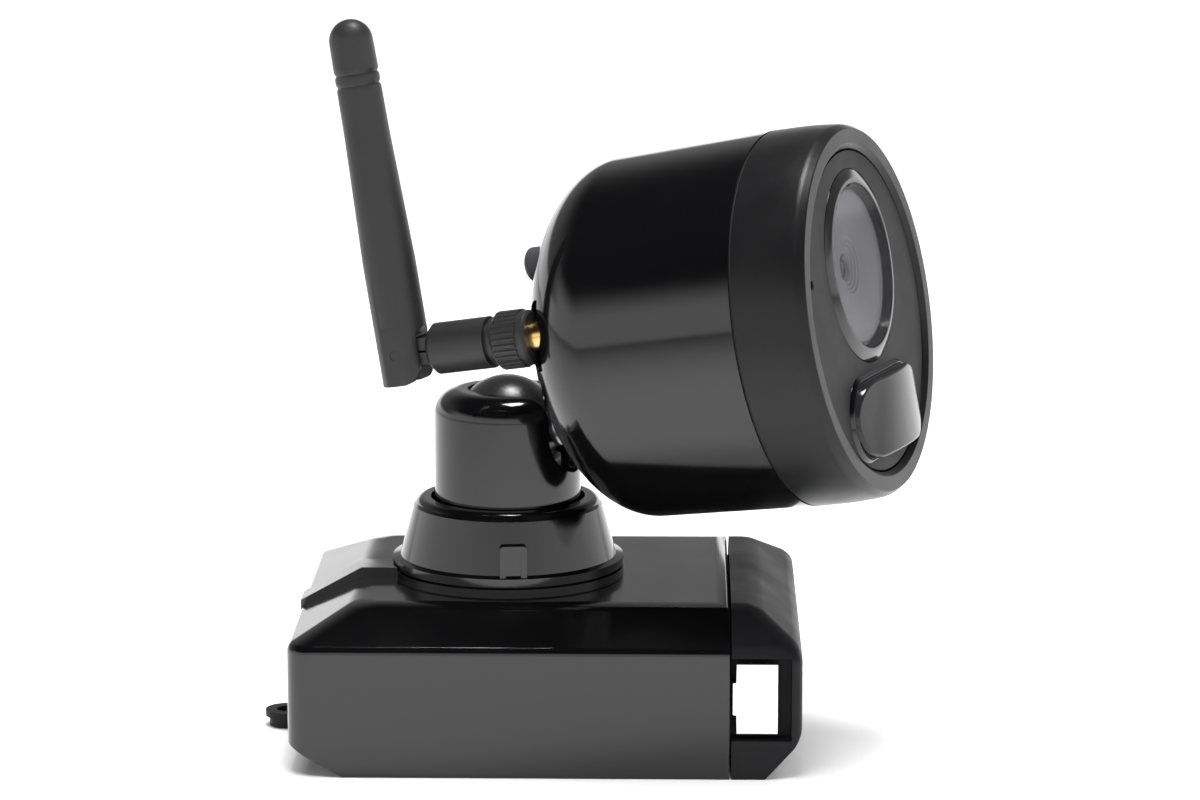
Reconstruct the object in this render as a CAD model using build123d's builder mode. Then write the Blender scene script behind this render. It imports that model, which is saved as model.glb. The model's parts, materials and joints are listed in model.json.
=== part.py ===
from build123d import *
import os
from math import cos, sin, radians, sqrt

# Battery-powered wireless security camera: a flat base with a pull-out battery pack, a lock
# collar and pan post, a ball joint, a round camera head and a folding whip antenna.
# +Z is up, +X points to the battery end cap, -Y is the front edge of the base.
# The origin is on the pan axis, in the plane that the base stands on.

os.makedirs("parts", exist_ok=True)

# ---------------------------------------------------------------- driving dimensions (mm)
running = 0.05            # radial clearance of a shaft or ball that turns in its seat
slip = 0.30               # gap between pieces that slide past each other
seam = 0.40               # visible joint line between casing pieces
screw_head_radius = 2.3
board_thickness = 1.6

# base housing
base_left = 43.4          # pan axis to the left end
housing_right = 46.6      # pan axis to the open right end
base_depth = 92.0
base_height = 33.2
skirt_height = 26.7       # height of the upright walls, below the sloped shoulders
front_slope_run = 13.4    # how far the front and rear shoulders run in
end_slope_run = 13.4      # the same at the left end
foot_rise = 6.4           # bevel under the left end
foot_run = 11.4
corner_radius = 5.0       # upright corners
shell_wall = 2.2
floor_thickness = 4.0
rib_width = 8.2           # raised cable rib from the collar to the left end
rib_rise = 2.0
rib_offset = -4.9         # the rib and the eyelet share this line
bay_width = 80.0          # battery bay
bay_height = 21.9
post_chamber = 54.0       # square space under the roof for the post's retainer

# mount plate in the underside
plate_length = 62.0
plate_width = 52.0
plate_thickness = 2.4
plate_corner = 4.0
plate_centre_x = 4.0
plate_screw_x = 52.0      # spacing of the plate's own screws
plate_screw_y = 42.0
plate_screw_radius = 1.2
bracket_hole_x = 36.0     # spacing of the holes that a bracket screws into
bracket_hole_y = 26.0
bracket_hole_radius = 1.65
bush_radius = 5.0         # brass tripod bush, pressed into the plate
tripod_minor_radius = 2.55
eyelet_radius = 4.6       # tether eyelet on a tongue of the plate
eyelet_hole_radius = 2.3
eyelet_reach = 46.9       # pan axis to the eyelet's centre
eyelet_height = 3.4
eyelet_flange = 1.3
eyelet_step = 0.8         # the eyelet's skirt stands in this far under its flange

# end cap, battery pack and latches
cap_length = 14.4
cap_slope_run = 9.6
cap_foot_rise = 8.2
cap_foot_run = 7.5
cap_corner = 1.6
cell_radius = 9.2
cell_length = 65.0
cell_pitch = 18.8
cell_count = 4
tray_wall = 1.4
contact_pitch = 14.0
contact_count = 4
contact_reach = 3.0
contact_plate = 0.4
contact_plate_width = 6.0
contact_plate_height = 8.0
contact_root = 2.4        # half width of a spring contact where it is soldered
contact_board_width = 60.0
contact_board_height = 15.9
cell_button = 1.0
pack_board_width = 60.0
pack_board_height = 14.0
latch_width = 8.6
latch_height = 14.8
latch_centre = 16.6
latch_thickness = 0.8
latch_sink = 0.9
latch_lip = 1.5
latch_tongue = 0.8
latch_tongue_height = 7.0
latch_guide = 4.0
latch_guide_depth = 3.0
latch_travel = 1.5
cap_screw_pitch = 68.0
cap_screw_height = 4.6      # above the pack's underside
cap_screw_head = 1.2
cap_screw_grip = 5.0
plug_depth = 6.0            # the end cap's plug reaches this far into the bay
gasket_lap = 2.0
pocket_width = 12.2
pocket_height = 17.2
pocket_depth = 4.6
pocket_sill = 0.9          # from the joint line to the latch's edge

# collar, post and ball
collar_flange_radius = 24.6
collar_flange_height = 0.9
boss_radius = 20.4
boss_top = 36.2
lock_ring_radius = 24.4
lock_ring_bottom = 34.6
lock_ring_height = 1.7
cone_bottom_radius = 22.8
cone_top_radius = 19.5
cone_top = 49.0
cone_wall = 2.2
cone_shoulder = 1.6
tab_width = 5.6
tab_rise = 6.8            # above the ring
tab_proud = 0.9
tab_frame = 1.2
tab_angle = 5.0           # from the front, about Z
tab_corner = 0.8
lock_ring_round = 0.5
post_radius = 15.44
post_top = 72.0
post_shoulder = 5.2
post_foot_radius = 18.0
post_foot_height = 3.0
washer_thickness = 0.8    # friction washer between the boss and the post's foot
spindle_radius = 10.0
spindle_bottom = 28.2
collar_bore_gap = 0.85    # annular groove between post and lock collar
ball_radius = 11.25
ball_height = 63.6
mouth_radius = 8.4        # opening and side slot of the socket
cup_floor = 1.4           # cup material below the ball
cup_shoulder = 6.0        # the cup's rim stays this far below the ball's centre
spring_height = 7.0
disc_count = 3
disc_cone = 1.3
disc_thickness = 0.8
disc_inner_radius = 5.0
disc_outer_radius = 10.4
cable_bore = 3.6
retainer_floor = 1.7
retainer_radius = 15.5
retainer_screw_count = 3
retainer_screw_radius = 1.0
retainer_screw_grip = 5.0
stem_radius = 5.0
stem_neck = 1.1
stem_pin_radius = 3.6
stem_pin_reach = 5.0
stem_thread_radius = 3.5
stem_boss_radius = 6.2
stem_boss_length = 8.6
stem_nut_radius = 6.4
stem_nut_length = 4.0
stem_end = 1.0            # the stem stands this far out of its nut
pin_bore_clear = 1.0      # the ball's bore runs this far past its surface

# camera head, measured along its own axis from the front ring
head_yaw = -20.84         # heading of the head about Z
head_tilt = 10.14         # its upward tilt
head_reach = 84.4         # ball centre to the front ring
head_rise = 15.7          # ball centre to the head axis
face_radius = 37.04
bezel_radius = 38.6
bezel_length = 15.2
bezel_lip_depth = 3.2
bezel_lip_radius = 38.2
recess_outer_radius = 34.0
recess_radius = 32.95
plate_sink = 1.0          # face plate below the front ring
face_plate_thickness = 3.0
face_gap = 0.35
shelf_width = 4.0
shelf_thickness = 2.0
spigot_length = 4.0
barrel_end_radius = 37.5
barrel_length = 49.0
head_length = 69.0
dome_flat_radius = 3.5
head_wall = 2.2

# what sits in the face
lens_rise = 9.2
lens_ring_radius = 19.7
lens_ring_front_radius = 17.8
lens_ring_proud = 0.8
window_radius = 16.8
window_thickness = 1.5
baffle_radius = 14.8
baffle_inner_radius = 5.6
baffle_steps = 7
baffle_depth = 1.4
lens_tube_radius = 7.2
lens_tube_length = 18.0
element_radius = 5.2
iris_radius = 1.9
iris_gap = 4.2            # lens element's edge to the iris
iris_thickness = 1.5
element_crown = 0.25      # bulge of the lens element's front
element_thickness = 2.6
baffle_rim = 0.7          # flat rim round the outermost step
baffle_floor = 1.0
baffle_draft = 0.15       # taper of each step's wall
sensor_board_size = 26.0
image_sensor_width = 7.0
image_sensor_height = 6.0
image_sensor_thickness = 1.2
pir_width = 40.0
pir_height = 18.0
pir_drop = 20.9
pir_frame_wall = 1.0
pir_frame_gap = 0.1
pir_frame_rise = 0.8
pir_proud = 4.0
pir_front_width = 33.6
pir_front_height = 15.2
pir_dome_radius = 70.0
pir_edge_radius = 0.5
pir_lens_wall = 1.5
pir_lip = 1.4             # width of the lens's foot behind the frame
board_pillar_radius = 2.7
processor_size = 14.0
processor_up = 4.0
processor_height = 1.2
module_width = 20.0       # radio module below the processor
module_length = 12.0
module_up = -16.0
module_height = 2.2
chip_side = -4.0
board_screw_length = 9.0
board_screw_head = 1.4
pir_board_depth = 12.0
pir_board_width = 22.0
pir_board_height = 12.0
pir_board_corner = 1.5
pir_can_radius = 4.1
pir_can_height = 4.0
main_board_depth = 32.0
board_screw_pcd = 58.0
board_screw_count = 3
board_screw_radius = 1.1
main_board_radius = 31.2
microphone_side = -29.2
microphone_rise = 9.5
microphone_radius = 0.95
microphone_sink = 0.8

# antenna and pairing button
antenna_side = -29.0
antenna_rise = 6.0
antenna_pocket_depth = 60.0   # depth of the flat floor around the socket
antenna_pocket_radius = 7.3
socket_thread_radius = 3.15
socket_inner = 52.0           # depths of the socket's ends
socket_outer = 65.3
socket_tail = 3.0
socket_tail_radius = 2.0
nut_start = 61.8
nut_length = 7.5
nut_radius = 6.0
nut_rim_radius = 5.6      # plain rim on the head side of the knurl
nut_rim = 2.0
nut_bevel = 0.6
knurl_count = 30
knurl_radius = 0.32
neck_radius = 2.6
neck_collar = 1.4         # collar on the knuckle's neck, held inside the nut
knuckle_start = 71.2
knuckle_end = 84.4
knuckle_chamfer = 1.1
knuckle_radius = 5.3
knuckle_groove = 0.6
whip_pivot = 91.1
whip_foot = 6.3
whip_height = 68.9
whip_foot_radius = 5.45
whip_tip_radius = 4.5
whip_flare_height = 18.5
whip_shaft_radius = 4.7
whip_shaft_height = 45.0
whip_groove_height = 56.0
groove_width = 1.2
groove_depth = 0.45
ear_height = 6.0          # flat faces of the whip's ears reach this far above the pin
ear_face = 4.9
ear_front = 4.4           # pin to the ears' front edge
ear_step_bottom = 3.5
ear_step_top = 5.1
heel_radius = 3.6         # rounded heel that lets the whip fold out straight
tongue_thickness = 5.0
tongue_radius = 2.75
tongue_slit = 0.4
whip_pin_radius = 1.1
button_side = -12.0
button_rise = 18.9
button_radius = 3.6
button_proud = 2.8
button_travel = 0.8
button_stalk = 5.0
button_skirt = 1.0        # straight side of the button outside the shell
switch_plunger_radius = 1.6
switch_plunger = 1.0
switch_size = 6.0
switch_height = 3.0
switch_board_size = 10.0
switch_board_corner = 1.0
switch_rib = 3.0          # thickness of the rib that carries the switch board

# ---------------------------------------------------------------- derived sizes and planes
half_depth = base_depth / 2
shoulder_flat = half_depth - front_slope_run
cap_left = housing_right + seam
cap_right = cap_left + cap_length
socket_radius = ball_radius + running
roof_bottom = base_height - shell_wall
bay_left = -base_left + foot_run * (1 - (floor_thickness - shell_wall) / foot_rise)  # clear of the bevel
bay_centre = floor_thickness + bay_height / 2
bay_top = floor_thickness + bay_height
post_foot_bottom = boss_top + washer_thickness + running
post_foot_top = post_foot_bottom + post_foot_height
lock_ring_top = lock_ring_bottom + lock_ring_height

yaw = radians(head_yaw)
tilt = radians(head_tilt)
forward = Vector(cos(tilt) * cos(yaw), cos(tilt) * sin(yaw), sin(tilt))
side = Vector(-sin(yaw), cos(yaw), 0)
rise = Vector(-sin(tilt) * cos(yaw), -sin(tilt) * sin(yaw), cos(tilt))
ball_centre = Vector(0, 0, ball_height)
face_centre = ball_centre + forward * head_reach + rise * head_rise


def station(depth, across=0.0, up=0.0):
    """A plane square to the head axis, that far behind the front ring, facing forward."""
    origin = face_centre - forward * depth + side * across + rise * up
    return Plane(origin=origin, x_dir=side, z_dir=forward)


def half_section(across=0.0, up=0.0):
    """A plane holding the head axis, or a line beside it: X is up, Y is forward."""
    origin = face_centre + side * across + rise * up
    return Plane(origin=origin, x_dir=rise, z_dir=side)


def axis_of(plane):
    """The line along a half section's own Y direction."""
    return Axis(plane.origin, plane.y_dir)


def heading_plane(height):
    """A level plane at that height with its X along the head's heading."""
    return Plane(origin=(0, 0, height), x_dir=(cos(yaw), sin(yaw), 0), z_dir=(0, 0, 1))


def finish(piece, name):
    piece.part.label = name
    export_step(piece.part, f"parts/{name}.step")


def base_end_view():
    """End view of the base: upright walls with long sloped shoulders, front and rear."""
    return [
        (-half_depth, 0),
        (-half_depth, skirt_height),
        (-shoulder_flat, base_height),
        (shoulder_flat, base_height),
        (half_depth, skirt_height),
        (half_depth, 0),
    ]


# ---------------------------------------------------------------- base housing
with BuildPart() as base_housing:
    with BuildSketch(Plane.XZ.offset(half_depth)):
        with BuildLine():
            Polyline(
                (-base_left + foot_run, 0),
                (-base_left, foot_rise),
                (-base_left, skirt_height),
                (-base_left + end_slope_run, base_height),
                (housing_right, base_height),
                (housing_right, 0),
                close=True,
            )
        make_face()
    extrude(amount=-base_depth)
    with BuildSketch(Plane.YZ.offset(-base_left)):
        with BuildLine():
            Polyline(*base_end_view(), close=True)
        make_face()
    extrude(amount=base_left + housing_right, mode=Mode.INTERSECT)
    left_corners = base_housing.edges().filter_by(Axis.Z).group_by(Axis.X)[0]
    fillet(left_corners, corner_radius)
    # raised cable rib over the top and down the left shoulder
    with BuildSketch(Plane.XZ.offset(-rib_offset + rib_width / 2)):
        with BuildLine():
            Polyline(
                (-base_left, skirt_height - rib_rise),
                (-base_left, skirt_height + rib_rise * 0.7),
                (-base_left + end_slope_run - rib_rise / 4, base_height + rib_rise),
                (0, base_height + rib_rise),
                (0, base_height - rib_rise),
                close=True,
            )
        make_face()
    extrude(amount=-rib_width)
    with BuildSketch(Plane.XY.offset(base_height + collar_flange_height)):
        Circle(lock_ring_radius + slip)
    extrude(amount=rib_rise, mode=Mode.SUBTRACT)
    # collar flange, and the boss that the lock collar turns on
    with BuildSketch(Plane.XY.offset(roof_bottom)):
        Circle(collar_flange_radius)
    extrude(amount=shell_wall + collar_flange_height)
    with BuildSketch(Plane.XY.offset(roof_bottom)):
        Circle(boss_radius)
    extrude(amount=boss_top - roof_bottom)
    # battery bay, open at the right end, and the chamber under the roof
    with BuildSketch(Plane.YZ.offset(bay_left)):
        with Locations((0, bay_centre)):
            Rectangle(bay_width, bay_height)
    extrude(amount=housing_right - bay_left, mode=Mode.SUBTRACT)
    with BuildSketch(Plane.XY.offset(bay_top)):
        Rectangle(post_chamber, post_chamber)
    extrude(amount=roof_bottom - bay_top, mode=Mode.SUBTRACT)
    with BuildSketch(Plane.XY.offset(bay_top)):
        Circle(spindle_radius + running)
    extrude(amount=boss_top - bay_top, mode=Mode.SUBTRACT)
    # recess for the mount plate, with its tongue through the left foot bevel
    with BuildSketch(Plane.XY):
        with Locations((plate_centre_x, 0)):
            RectangleRounded(plate_length + 2 * slip, plate_width + 2 * slip, plate_corner + slip)
    extrude(amount=plate_thickness, mode=Mode.SUBTRACT)
    with BuildSketch(Plane.XY):
        with Locations((-eyelet_reach / 2, rib_offset)):
            Rectangle(eyelet_reach, 2 * (eyelet_radius + slip))
    extrude(amount=eyelet_height + slip, mode=Mode.SUBTRACT)
    # pilot holes for the plate's screws, and the hole that clears the tripod bush
    with BuildSketch(Plane.XY):
        with Locations((plate_centre_x, 0)):
            with GridLocations(plate_screw_x, plate_screw_y, 2, 2):
                Circle(plate_screw_radius)
        with Locations((plate_centre_x, 0)):
            Circle(bush_radius + slip)
    extrude(amount=floor_thickness, mode=Mode.SUBTRACT)
finish(base_housing, "base_housing")

with BuildPart() as collar_seal:
    with BuildSketch(Plane.XY.offset(base_height + collar_flange_height)):
        Circle(lock_ring_radius - 1.8)
        Circle(boss_radius + slip, mode=Mode.SUBTRACT)
    extrude(amount=lock_ring_bottom - base_height - collar_flange_height - running)
finish(collar_seal, "collar_seal")

# ---------------------------------------------------------------- mount plate underneath
with BuildPart() as mount_plate:
    with BuildSketch(Plane.XY):
        with Locations((plate_centre_x, 0)):
            RectangleRounded(plate_length, plate_width, plate_corner)
    extrude(amount=plate_thickness)
    # tongue and tether eyelet: a skirt with a wider flange on top
    with BuildSketch(Plane.XY):
        with Locations((-eyelet_reach / 2, rib_offset)):
            Rectangle(eyelet_reach, 2 * (eyelet_radius - eyelet_step))
        with Locations((-eyelet_reach, rib_offset)):
            Circle(eyelet_radius - eyelet_step)
    extrude(amount=eyelet_height - eyelet_flange)
    with BuildSketch(Plane.XY.offset(eyelet_height - eyelet_flange)):
        with Locations((-(eyelet_reach + base_left - foot_run) / 2, rib_offset)):
            Rectangle(eyelet_reach - base_left + foot_run, 2 * eyelet_radius)
        with Locations((-eyelet_reach, rib_offset)):
            Circle(eyelet_radius)
    extrude(amount=eyelet_flange)
    with BuildSketch(Plane.XY):
        with Locations((-eyelet_reach, rib_offset)):
            Circle(eyelet_hole_radius)
    extrude(amount=eyelet_height, mode=Mode.SUBTRACT)
    with BuildSketch(Plane.XY):
        with Locations((plate_centre_x, 0)):
            with GridLocations(bracket_hole_x, bracket_hole_y, 2, 2):
                Circle(bracket_hole_radius)
            Circle(bush_radius)
    extrude(amount=plate_thickness, mode=Mode.SUBTRACT)
    with Locations(Plane(origin=(plate_centre_x, 0, 0), z_dir=(0, 0, -1))):
        with GridLocations(plate_screw_x, plate_screw_y, 2, 2):
            CounterSinkHole(plate_screw_radius + 0.1, screw_head_radius, plate_thickness)
finish(mount_plate, "mount_plate")

with BuildPart() as tripod_bush:
    with BuildSketch(Plane.XY):
        with Locations((plate_centre_x, 0)):
            Circle(bush_radius)
            Circle(tripod_minor_radius, mode=Mode.SUBTRACT)
    extrude(amount=floor_thickness)
finish(tripod_bush, "tripod_bush")


def countersunk_screw(length, radius, head_radius):
    """Half profile of a countersunk screw, head at zero, shank up the Y direction."""
    return [
        (0, 0),
        (head_radius, 0),
        (radius, head_radius - radius),
        (radius, length),
        (0, length),
    ]


with BuildPart() as plate_screws:
    for x in (-plate_screw_x / 2, plate_screw_x / 2):
        for y in (-plate_screw_y / 2, plate_screw_y / 2):
            screw_section = Plane(origin=(plate_centre_x + x, y, 0), x_dir=(1, 0, 0), z_dir=(0, -1, 0))
            with BuildSketch(screw_section):
                with BuildLine():
                    Polyline(
                        *countersunk_screw(floor_thickness - 0.1, plate_screw_radius, screw_head_radius),
                        close=True,
                    )
                make_face()
            revolve(axis=axis_of(screw_section))
finish(plate_screws, "plate_screws")

# ---------------------------------------------------------------- contacts at the bay's far end
contact_offsets = [contact_pitch * (index - (contact_count - 1) / 2) for index in range(contact_count)]
with BuildPart() as contact_board:
    with BuildSketch(Plane.YZ.offset(bay_left)):
        with Locations((0, bay_centre)):
            Rectangle(contact_board_width, contact_board_height)
    extrude(amount=board_thickness)
finish(contact_board, "contact_board")

with BuildPart() as contact_springs:
    spring_root = bay_left + board_thickness
    for offset_y in contact_offsets:
        with BuildSketch(Plane.XY.offset(bay_centre)):
            with BuildLine():
                Line((spring_root, offset_y - contact_root), (spring_root, offset_y + contact_root))
                ThreePointArc(
                    (spring_root, offset_y + contact_root),
                    (spring_root + contact_reach, offset_y),
                    (spring_root, offset_y - contact_root),
                )
            make_face()
            with Locations((spring_root, offset_y)):
                Circle(contact_root / 2, mode=Mode.SUBTRACT)
        extrude(amount=contact_root, both=True)
finish(contact_springs, "contact_springs")

# ---------------------------------------------------------------- battery pack
pack_left = bay_left + board_thickness + contact_reach + contact_plate + 0.1
pack_right = housing_right - plug_depth
pack_floor = floor_thickness + slip
pack_height = bay_height - 2 * slip
pack_width = bay_width - 2 * slip
cell_height = pack_floor + tray_wall + cell_radius
cavity_left = pack_left + tray_wall
cavity_width = pack_width - 2 * tray_wall
cells_left = cavity_left + slip
pack_board_left = cells_left + cell_length + slip
cavity_right = pack_board_left + board_thickness + slip


def cap_screw_circles(radius):
    """Circles of that radius on the two cap screws' axes, for a YZ sketch."""
    with Locations((0, pack_floor + cap_screw_height)):
        with GridLocations(cap_screw_pitch, 0, 2, 1):
            Circle(radius)


def make_pack_half(name, bottom, height, cavity_bottom, cavity_height, screw_holes):
    """One half of the pack's case: a plain block with the cavity for cells and board."""
    with BuildPart() as half:
        with BuildSketch(Plane.XY.offset(bottom)):
            with Locations(((pack_left + pack_right) / 2, 0)):
                Rectangle(pack_right - pack_left, pack_width)
        extrude(amount=height)
        with BuildSketch(Plane.XY.offset(cavity_bottom)):
            with Locations(((cavity_left + cavity_right) / 2, 0)):
                Rectangle(cavity_right - cavity_left, cavity_width)
        extrude(amount=cavity_height, mode=Mode.SUBTRACT)
        if screw_holes:
            with BuildSketch(Plane.YZ.offset(cavity_right)):
                cap_screw_circles(plate_screw_radius)
            extrude(amount=pack_right - cavity_right, mode=Mode.SUBTRACT)
    finish(half, name)


tray_height = cell_height - pack_floor
cover_height = pack_height - tray_height
make_pack_half("pack_tray", pack_floor, tray_height, pack_floor + tray_wall, cell_radius, True)
make_pack_half("pack_cover", cell_height, cover_height, cell_height, cell_radius + slip, False)

with BuildPart() as battery_cells:
    with BuildSketch(Plane.YZ.offset(cells_left)):
        with Locations((0, cell_height)):
            with GridLocations(cell_pitch, 0, cell_count, 1):
                Circle(cell_radius)
    extrude(amount=cell_length - cell_button)
    with BuildSketch(Plane.YZ.offset(cells_left + cell_length - cell_button)):
        with Locations((0, cell_height)):
            with GridLocations(cell_pitch, 0, cell_count, 1):
                Circle(cell_radius / 3)
    extrude(amount=cell_button)
finish(battery_cells, "battery_cells")

with BuildPart() as pack_contacts:
    with BuildSketch(Plane.YZ.offset(pack_left - contact_plate)):
        with Locations((0, bay_centre)):
            with GridLocations(contact_pitch, 0, contact_count, 1):
                Rectangle(contact_plate_width, contact_plate_height)
    extrude(amount=contact_plate)
finish(pack_contacts, "pack_contacts")

with BuildPart() as pack_board:
    with BuildSketch(Plane.YZ.offset(pack_board_left)):
        with Locations((0, cell_height)):
            Rectangle(pack_board_width, pack_board_height)
    extrude(amount=board_thickness)
finish(pack_board, "pack_board")

# end cap: the casing's profile carried on, with a side pocket for each latch
latch_left = cap_left + pocket_sill
latch_middle = latch_left + latch_width / 2
latch_face = half_depth - latch_sink

with BuildPart() as end_cap:
    with BuildSketch(Plane.XZ.offset(half_depth)):
        with BuildLine():
            Polyline(
                (cap_left, 0),
                (cap_left, base_height),
                (cap_right - cap_slope_run, base_height),
                (cap_right, skirt_height),
                (cap_right, cap_foot_rise),
                (cap_right - cap_foot_run, 0),
                close=True,
            )
        make_face()
    extrude(amount=-base_depth)
    with BuildSketch(Plane.YZ.offset(cap_left)):
        with BuildLine():
            Polyline(*base_end_view(), close=True)
        make_face()
    extrude(amount=cap_length, mode=Mode.INTERSECT)
    right_corners = end_cap.edges().filter_by(Axis.Z).group_by(Axis.X)[-1]
    fillet(right_corners, cap_corner)
    # plug that closes the bay and carries the battery pack, with its screw holes
    with BuildSketch(Plane.YZ.offset(pack_right)):
        with Locations((0, bay_centre)):
            Rectangle(pack_width, pack_height)
    extrude(amount=cap_left - pack_right)
    with BuildSketch(Plane.YZ.offset(pack_right)):
        cap_screw_circles(plate_screw_radius)
    extrude(amount=cap_screw_grip, mode=Mode.SUBTRACT)
    # latch pockets, front and rear, open towards the housing
    for facing in (-1, 1):
        with BuildSketch(Plane.XY.offset(latch_centre - pocket_height / 2)):
            with Locations((cap_left + pocket_width / 2, facing * (half_depth - pocket_depth / 2))):
                Rectangle(pocket_width, pocket_depth)
        extrude(amount=pocket_height, mode=Mode.SUBTRACT)
        with BuildSketch(Plane.XY.offset(latch_centre)):
            with Locations((latch_middle, facing * (half_depth - pocket_depth))):
                Rectangle(latch_guide + 2 * slip, 2 * (latch_guide_depth + latch_travel + slip))
        extrude(amount=latch_guide / 2 + slip, both=True, mode=Mode.SUBTRACT)
finish(end_cap, "end_cap")

with BuildPart() as pack_gasket:
    with BuildSketch(Plane.YZ.offset(housing_right + running)):
        with Locations((0, bay_centre)):
            RectangleRounded(bay_width + 2 * gasket_lap, bay_height + gasket_lap, gasket_lap)
            Rectangle(pack_width, pack_height, mode=Mode.SUBTRACT)
    extrude(amount=seam - running)
finish(pack_gasket, "pack_gasket")


def make_latch(facing, name):
    """A polished spring-steel latch plate in its pocket: rolled lips, a tongue and a guide."""
    outer = facing * latch_face
    middle = outer - facing * latch_thickness / 2
    lip_middle = outer - facing * latch_lip / 2
    right_lip = latch_left + latch_width - latch_thickness / 2
    guide_root = latch_face - latch_thickness
    guide_end = half_depth - pocket_depth - latch_guide_depth
    with BuildPart() as latch:
        with BuildSketch(Plane.XY.offset(latch_centre - latch_height / 2)):
            with Locations((latch_middle, middle)):
                Rectangle(latch_width, latch_thickness)
            with Locations((right_lip, lip_middle)):
                Rectangle(latch_thickness, latch_lip)
        extrude(amount=latch_height)
        for end in (-1, 1):
            with BuildSketch(Plane.XY.offset(latch_centre + end * (latch_height - latch_thickness) / 2)):
                with Locations((latch_middle, lip_middle)):
                    Rectangle(latch_width, latch_lip)
            extrude(amount=latch_thickness / 2, both=True)
        with BuildSketch(Plane.XY.offset(latch_centre)):
            with Locations((latch_left - latch_tongue / 2, middle)):
                Rectangle(latch_tongue, latch_thickness)
        extrude(amount=latch_tongue_height / 2, both=True)
        with BuildSketch(Plane.XY.offset(latch_centre)):
            with Locations((latch_middle, facing * (guide_root + guide_end) / 2)):
                Rectangle(latch_guide, guide_root - guide_end)
        extrude(amount=latch_guide / 2, both=True)
    finish(latch, name)


make_latch(-1, "latch_front")
make_latch(1, "latch_rear")

with BuildPart() as cap_screws:
    with BuildSketch(Plane.YZ.offset(cavity_right - cap_screw_head)):
        cap_screw_circles(screw_head_radius)
    extrude(amount=cap_screw_head)
    with BuildSketch(Plane.YZ.offset(cavity_right)):
        cap_screw_circles(plate_screw_radius)
    extrude(amount=pack_right - cavity_right + cap_screw_grip - running)
finish(cap_screws, "cap_screws")

# ---------------------------------------------------------------- lock collar on the boss
cone_inner_top = cone_top_radius - cone_wall
tab_heading = Vector(sin(radians(tab_angle)), -cos(radians(tab_angle)), 0)
tab_across = Vector(cos(radians(tab_angle)), sin(radians(tab_angle)), 0)
tab_reach = cone_bottom_radius + tab_proud
tab_top = lock_ring_top + tab_rise

with BuildPart() as lock_collar:
    with BuildSketch(Plane.XZ):
        with BuildLine():
            Polyline(
                (boss_radius + running, lock_ring_bottom),
                (lock_ring_radius, lock_ring_bottom),
                (lock_ring_radius, lock_ring_top),
                (cone_bottom_radius, lock_ring_top + 0.4),
                (cone_top_radius, cone_top),
                (post_radius + collar_bore_gap, cone_top),
                (post_radius + collar_bore_gap, cone_top - cone_wall),
                (cone_inner_top, cone_top - cone_wall - 1.5),
                (boss_radius + running, lock_ring_top + 1.2),
                close=True,
            )
        make_face()
    revolve(axis=Axis.Z)
    shoulder_edge = lock_collar.edges().group_by(Axis.Z)[-1].sort_by(SortBy.RADIUS)[-1]
    fillet(shoulder_edge, cone_shoulder)
    rim_edges = lock_collar.edges().filter_by(GeomType.CIRCLE)
    fillet(rim_edges.filter_by(lambda e: abs(e.radius - lock_ring_radius) < 0.01), lock_ring_round)
    # the finger tab, standing proud of the cone
    with BuildSketch(Plane(origin=tab_heading * tab_reach, x_dir=tab_across, z_dir=tab_heading)):
        with Locations((0, (lock_ring_bottom + tab_top) / 2)):
            RectangleRounded(tab_width, tab_top - lock_ring_bottom, tab_corner)
            Rectangle(tab_width - 2 * tab_frame, tab_top - lock_ring_bottom - 2 * tab_frame, mode=Mode.SUBTRACT)
    extrude(amount=-(tab_proud + cone_wall))
finish(lock_collar, "lock_collar")

# ---------------------------------------------------------------- pan post
seat_bottom = ball_height - ball_radius - cup_floor
with BuildPart() as post:
    with BuildSketch(Plane.XZ):
        with BuildLine():
            Polyline(
                (cable_bore, spindle_bottom),
                (spindle_radius, spindle_bottom),
                (spindle_radius, post_foot_bottom),
                (post_foot_radius, post_foot_bottom),
                (post_foot_radius, post_foot_top),
                (post_radius, post_foot_top),
                (post_radius, post_top),
                (cable_bore, post_top),
                close=True,
            )
        make_face()
    revolve(axis=Axis.Z)
    top_edge = post.edges().group_by(Axis.Z)[-1].sort_by(SortBy.RADIUS)[-1]
    fillet(top_edge, post_shoulder)
    with BuildSketch(Plane.XY.offset(seat_bottom - spring_height)):
        Circle(socket_radius)
    extrude(amount=ball_height - seat_bottom + spring_height, mode=Mode.SUBTRACT)
    with Locations((0, 0, ball_height)):
        Sphere(socket_radius, mode=Mode.SUBTRACT)
    # round mouth on top, and the slot that lets the stem swing down to level
    with BuildSketch(Plane.XY.offset(ball_height)):
        Circle(mouth_radius)
    extrude(amount=post_top - ball_height, mode=Mode.SUBTRACT)
    with BuildSketch(heading_plane(ball_height)):
        with Locations((post_radius, 0)):
            Rectangle(2 * post_radius, 2 * mouth_radius)
    extrude(amount=post_top - ball_height, mode=Mode.SUBTRACT)
    with BuildSketch(Plane(origin=(0, 0, ball_height), x_dir=side, z_dir=(cos(yaw), sin(yaw), 0))):
        Circle(mouth_radius)
    extrude(amount=2 * post_radius, mode=Mode.SUBTRACT)
    # pilot holes for the retainer's screws
    with BuildSketch(Plane.XY.offset(spindle_bottom)):
        with PolarLocations((spindle_radius + cable_bore) / 2, retainer_screw_count):
            Circle(retainer_screw_radius)
    extrude(amount=retainer_screw_grip, mode=Mode.SUBTRACT)
finish(post, "post")

with BuildPart() as ball_cup:
    with BuildSketch(Plane.XY.offset(seat_bottom)):
        Circle(ball_radius - running)
        Circle(cable_bore, mode=Mode.SUBTRACT)
    extrude(amount=ball_height - seat_bottom - cup_shoulder)
    with Locations((0, 0, ball_height)):
        Sphere(socket_radius, mode=Mode.SUBTRACT)
finish(ball_cup, "ball_cup")

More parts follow.
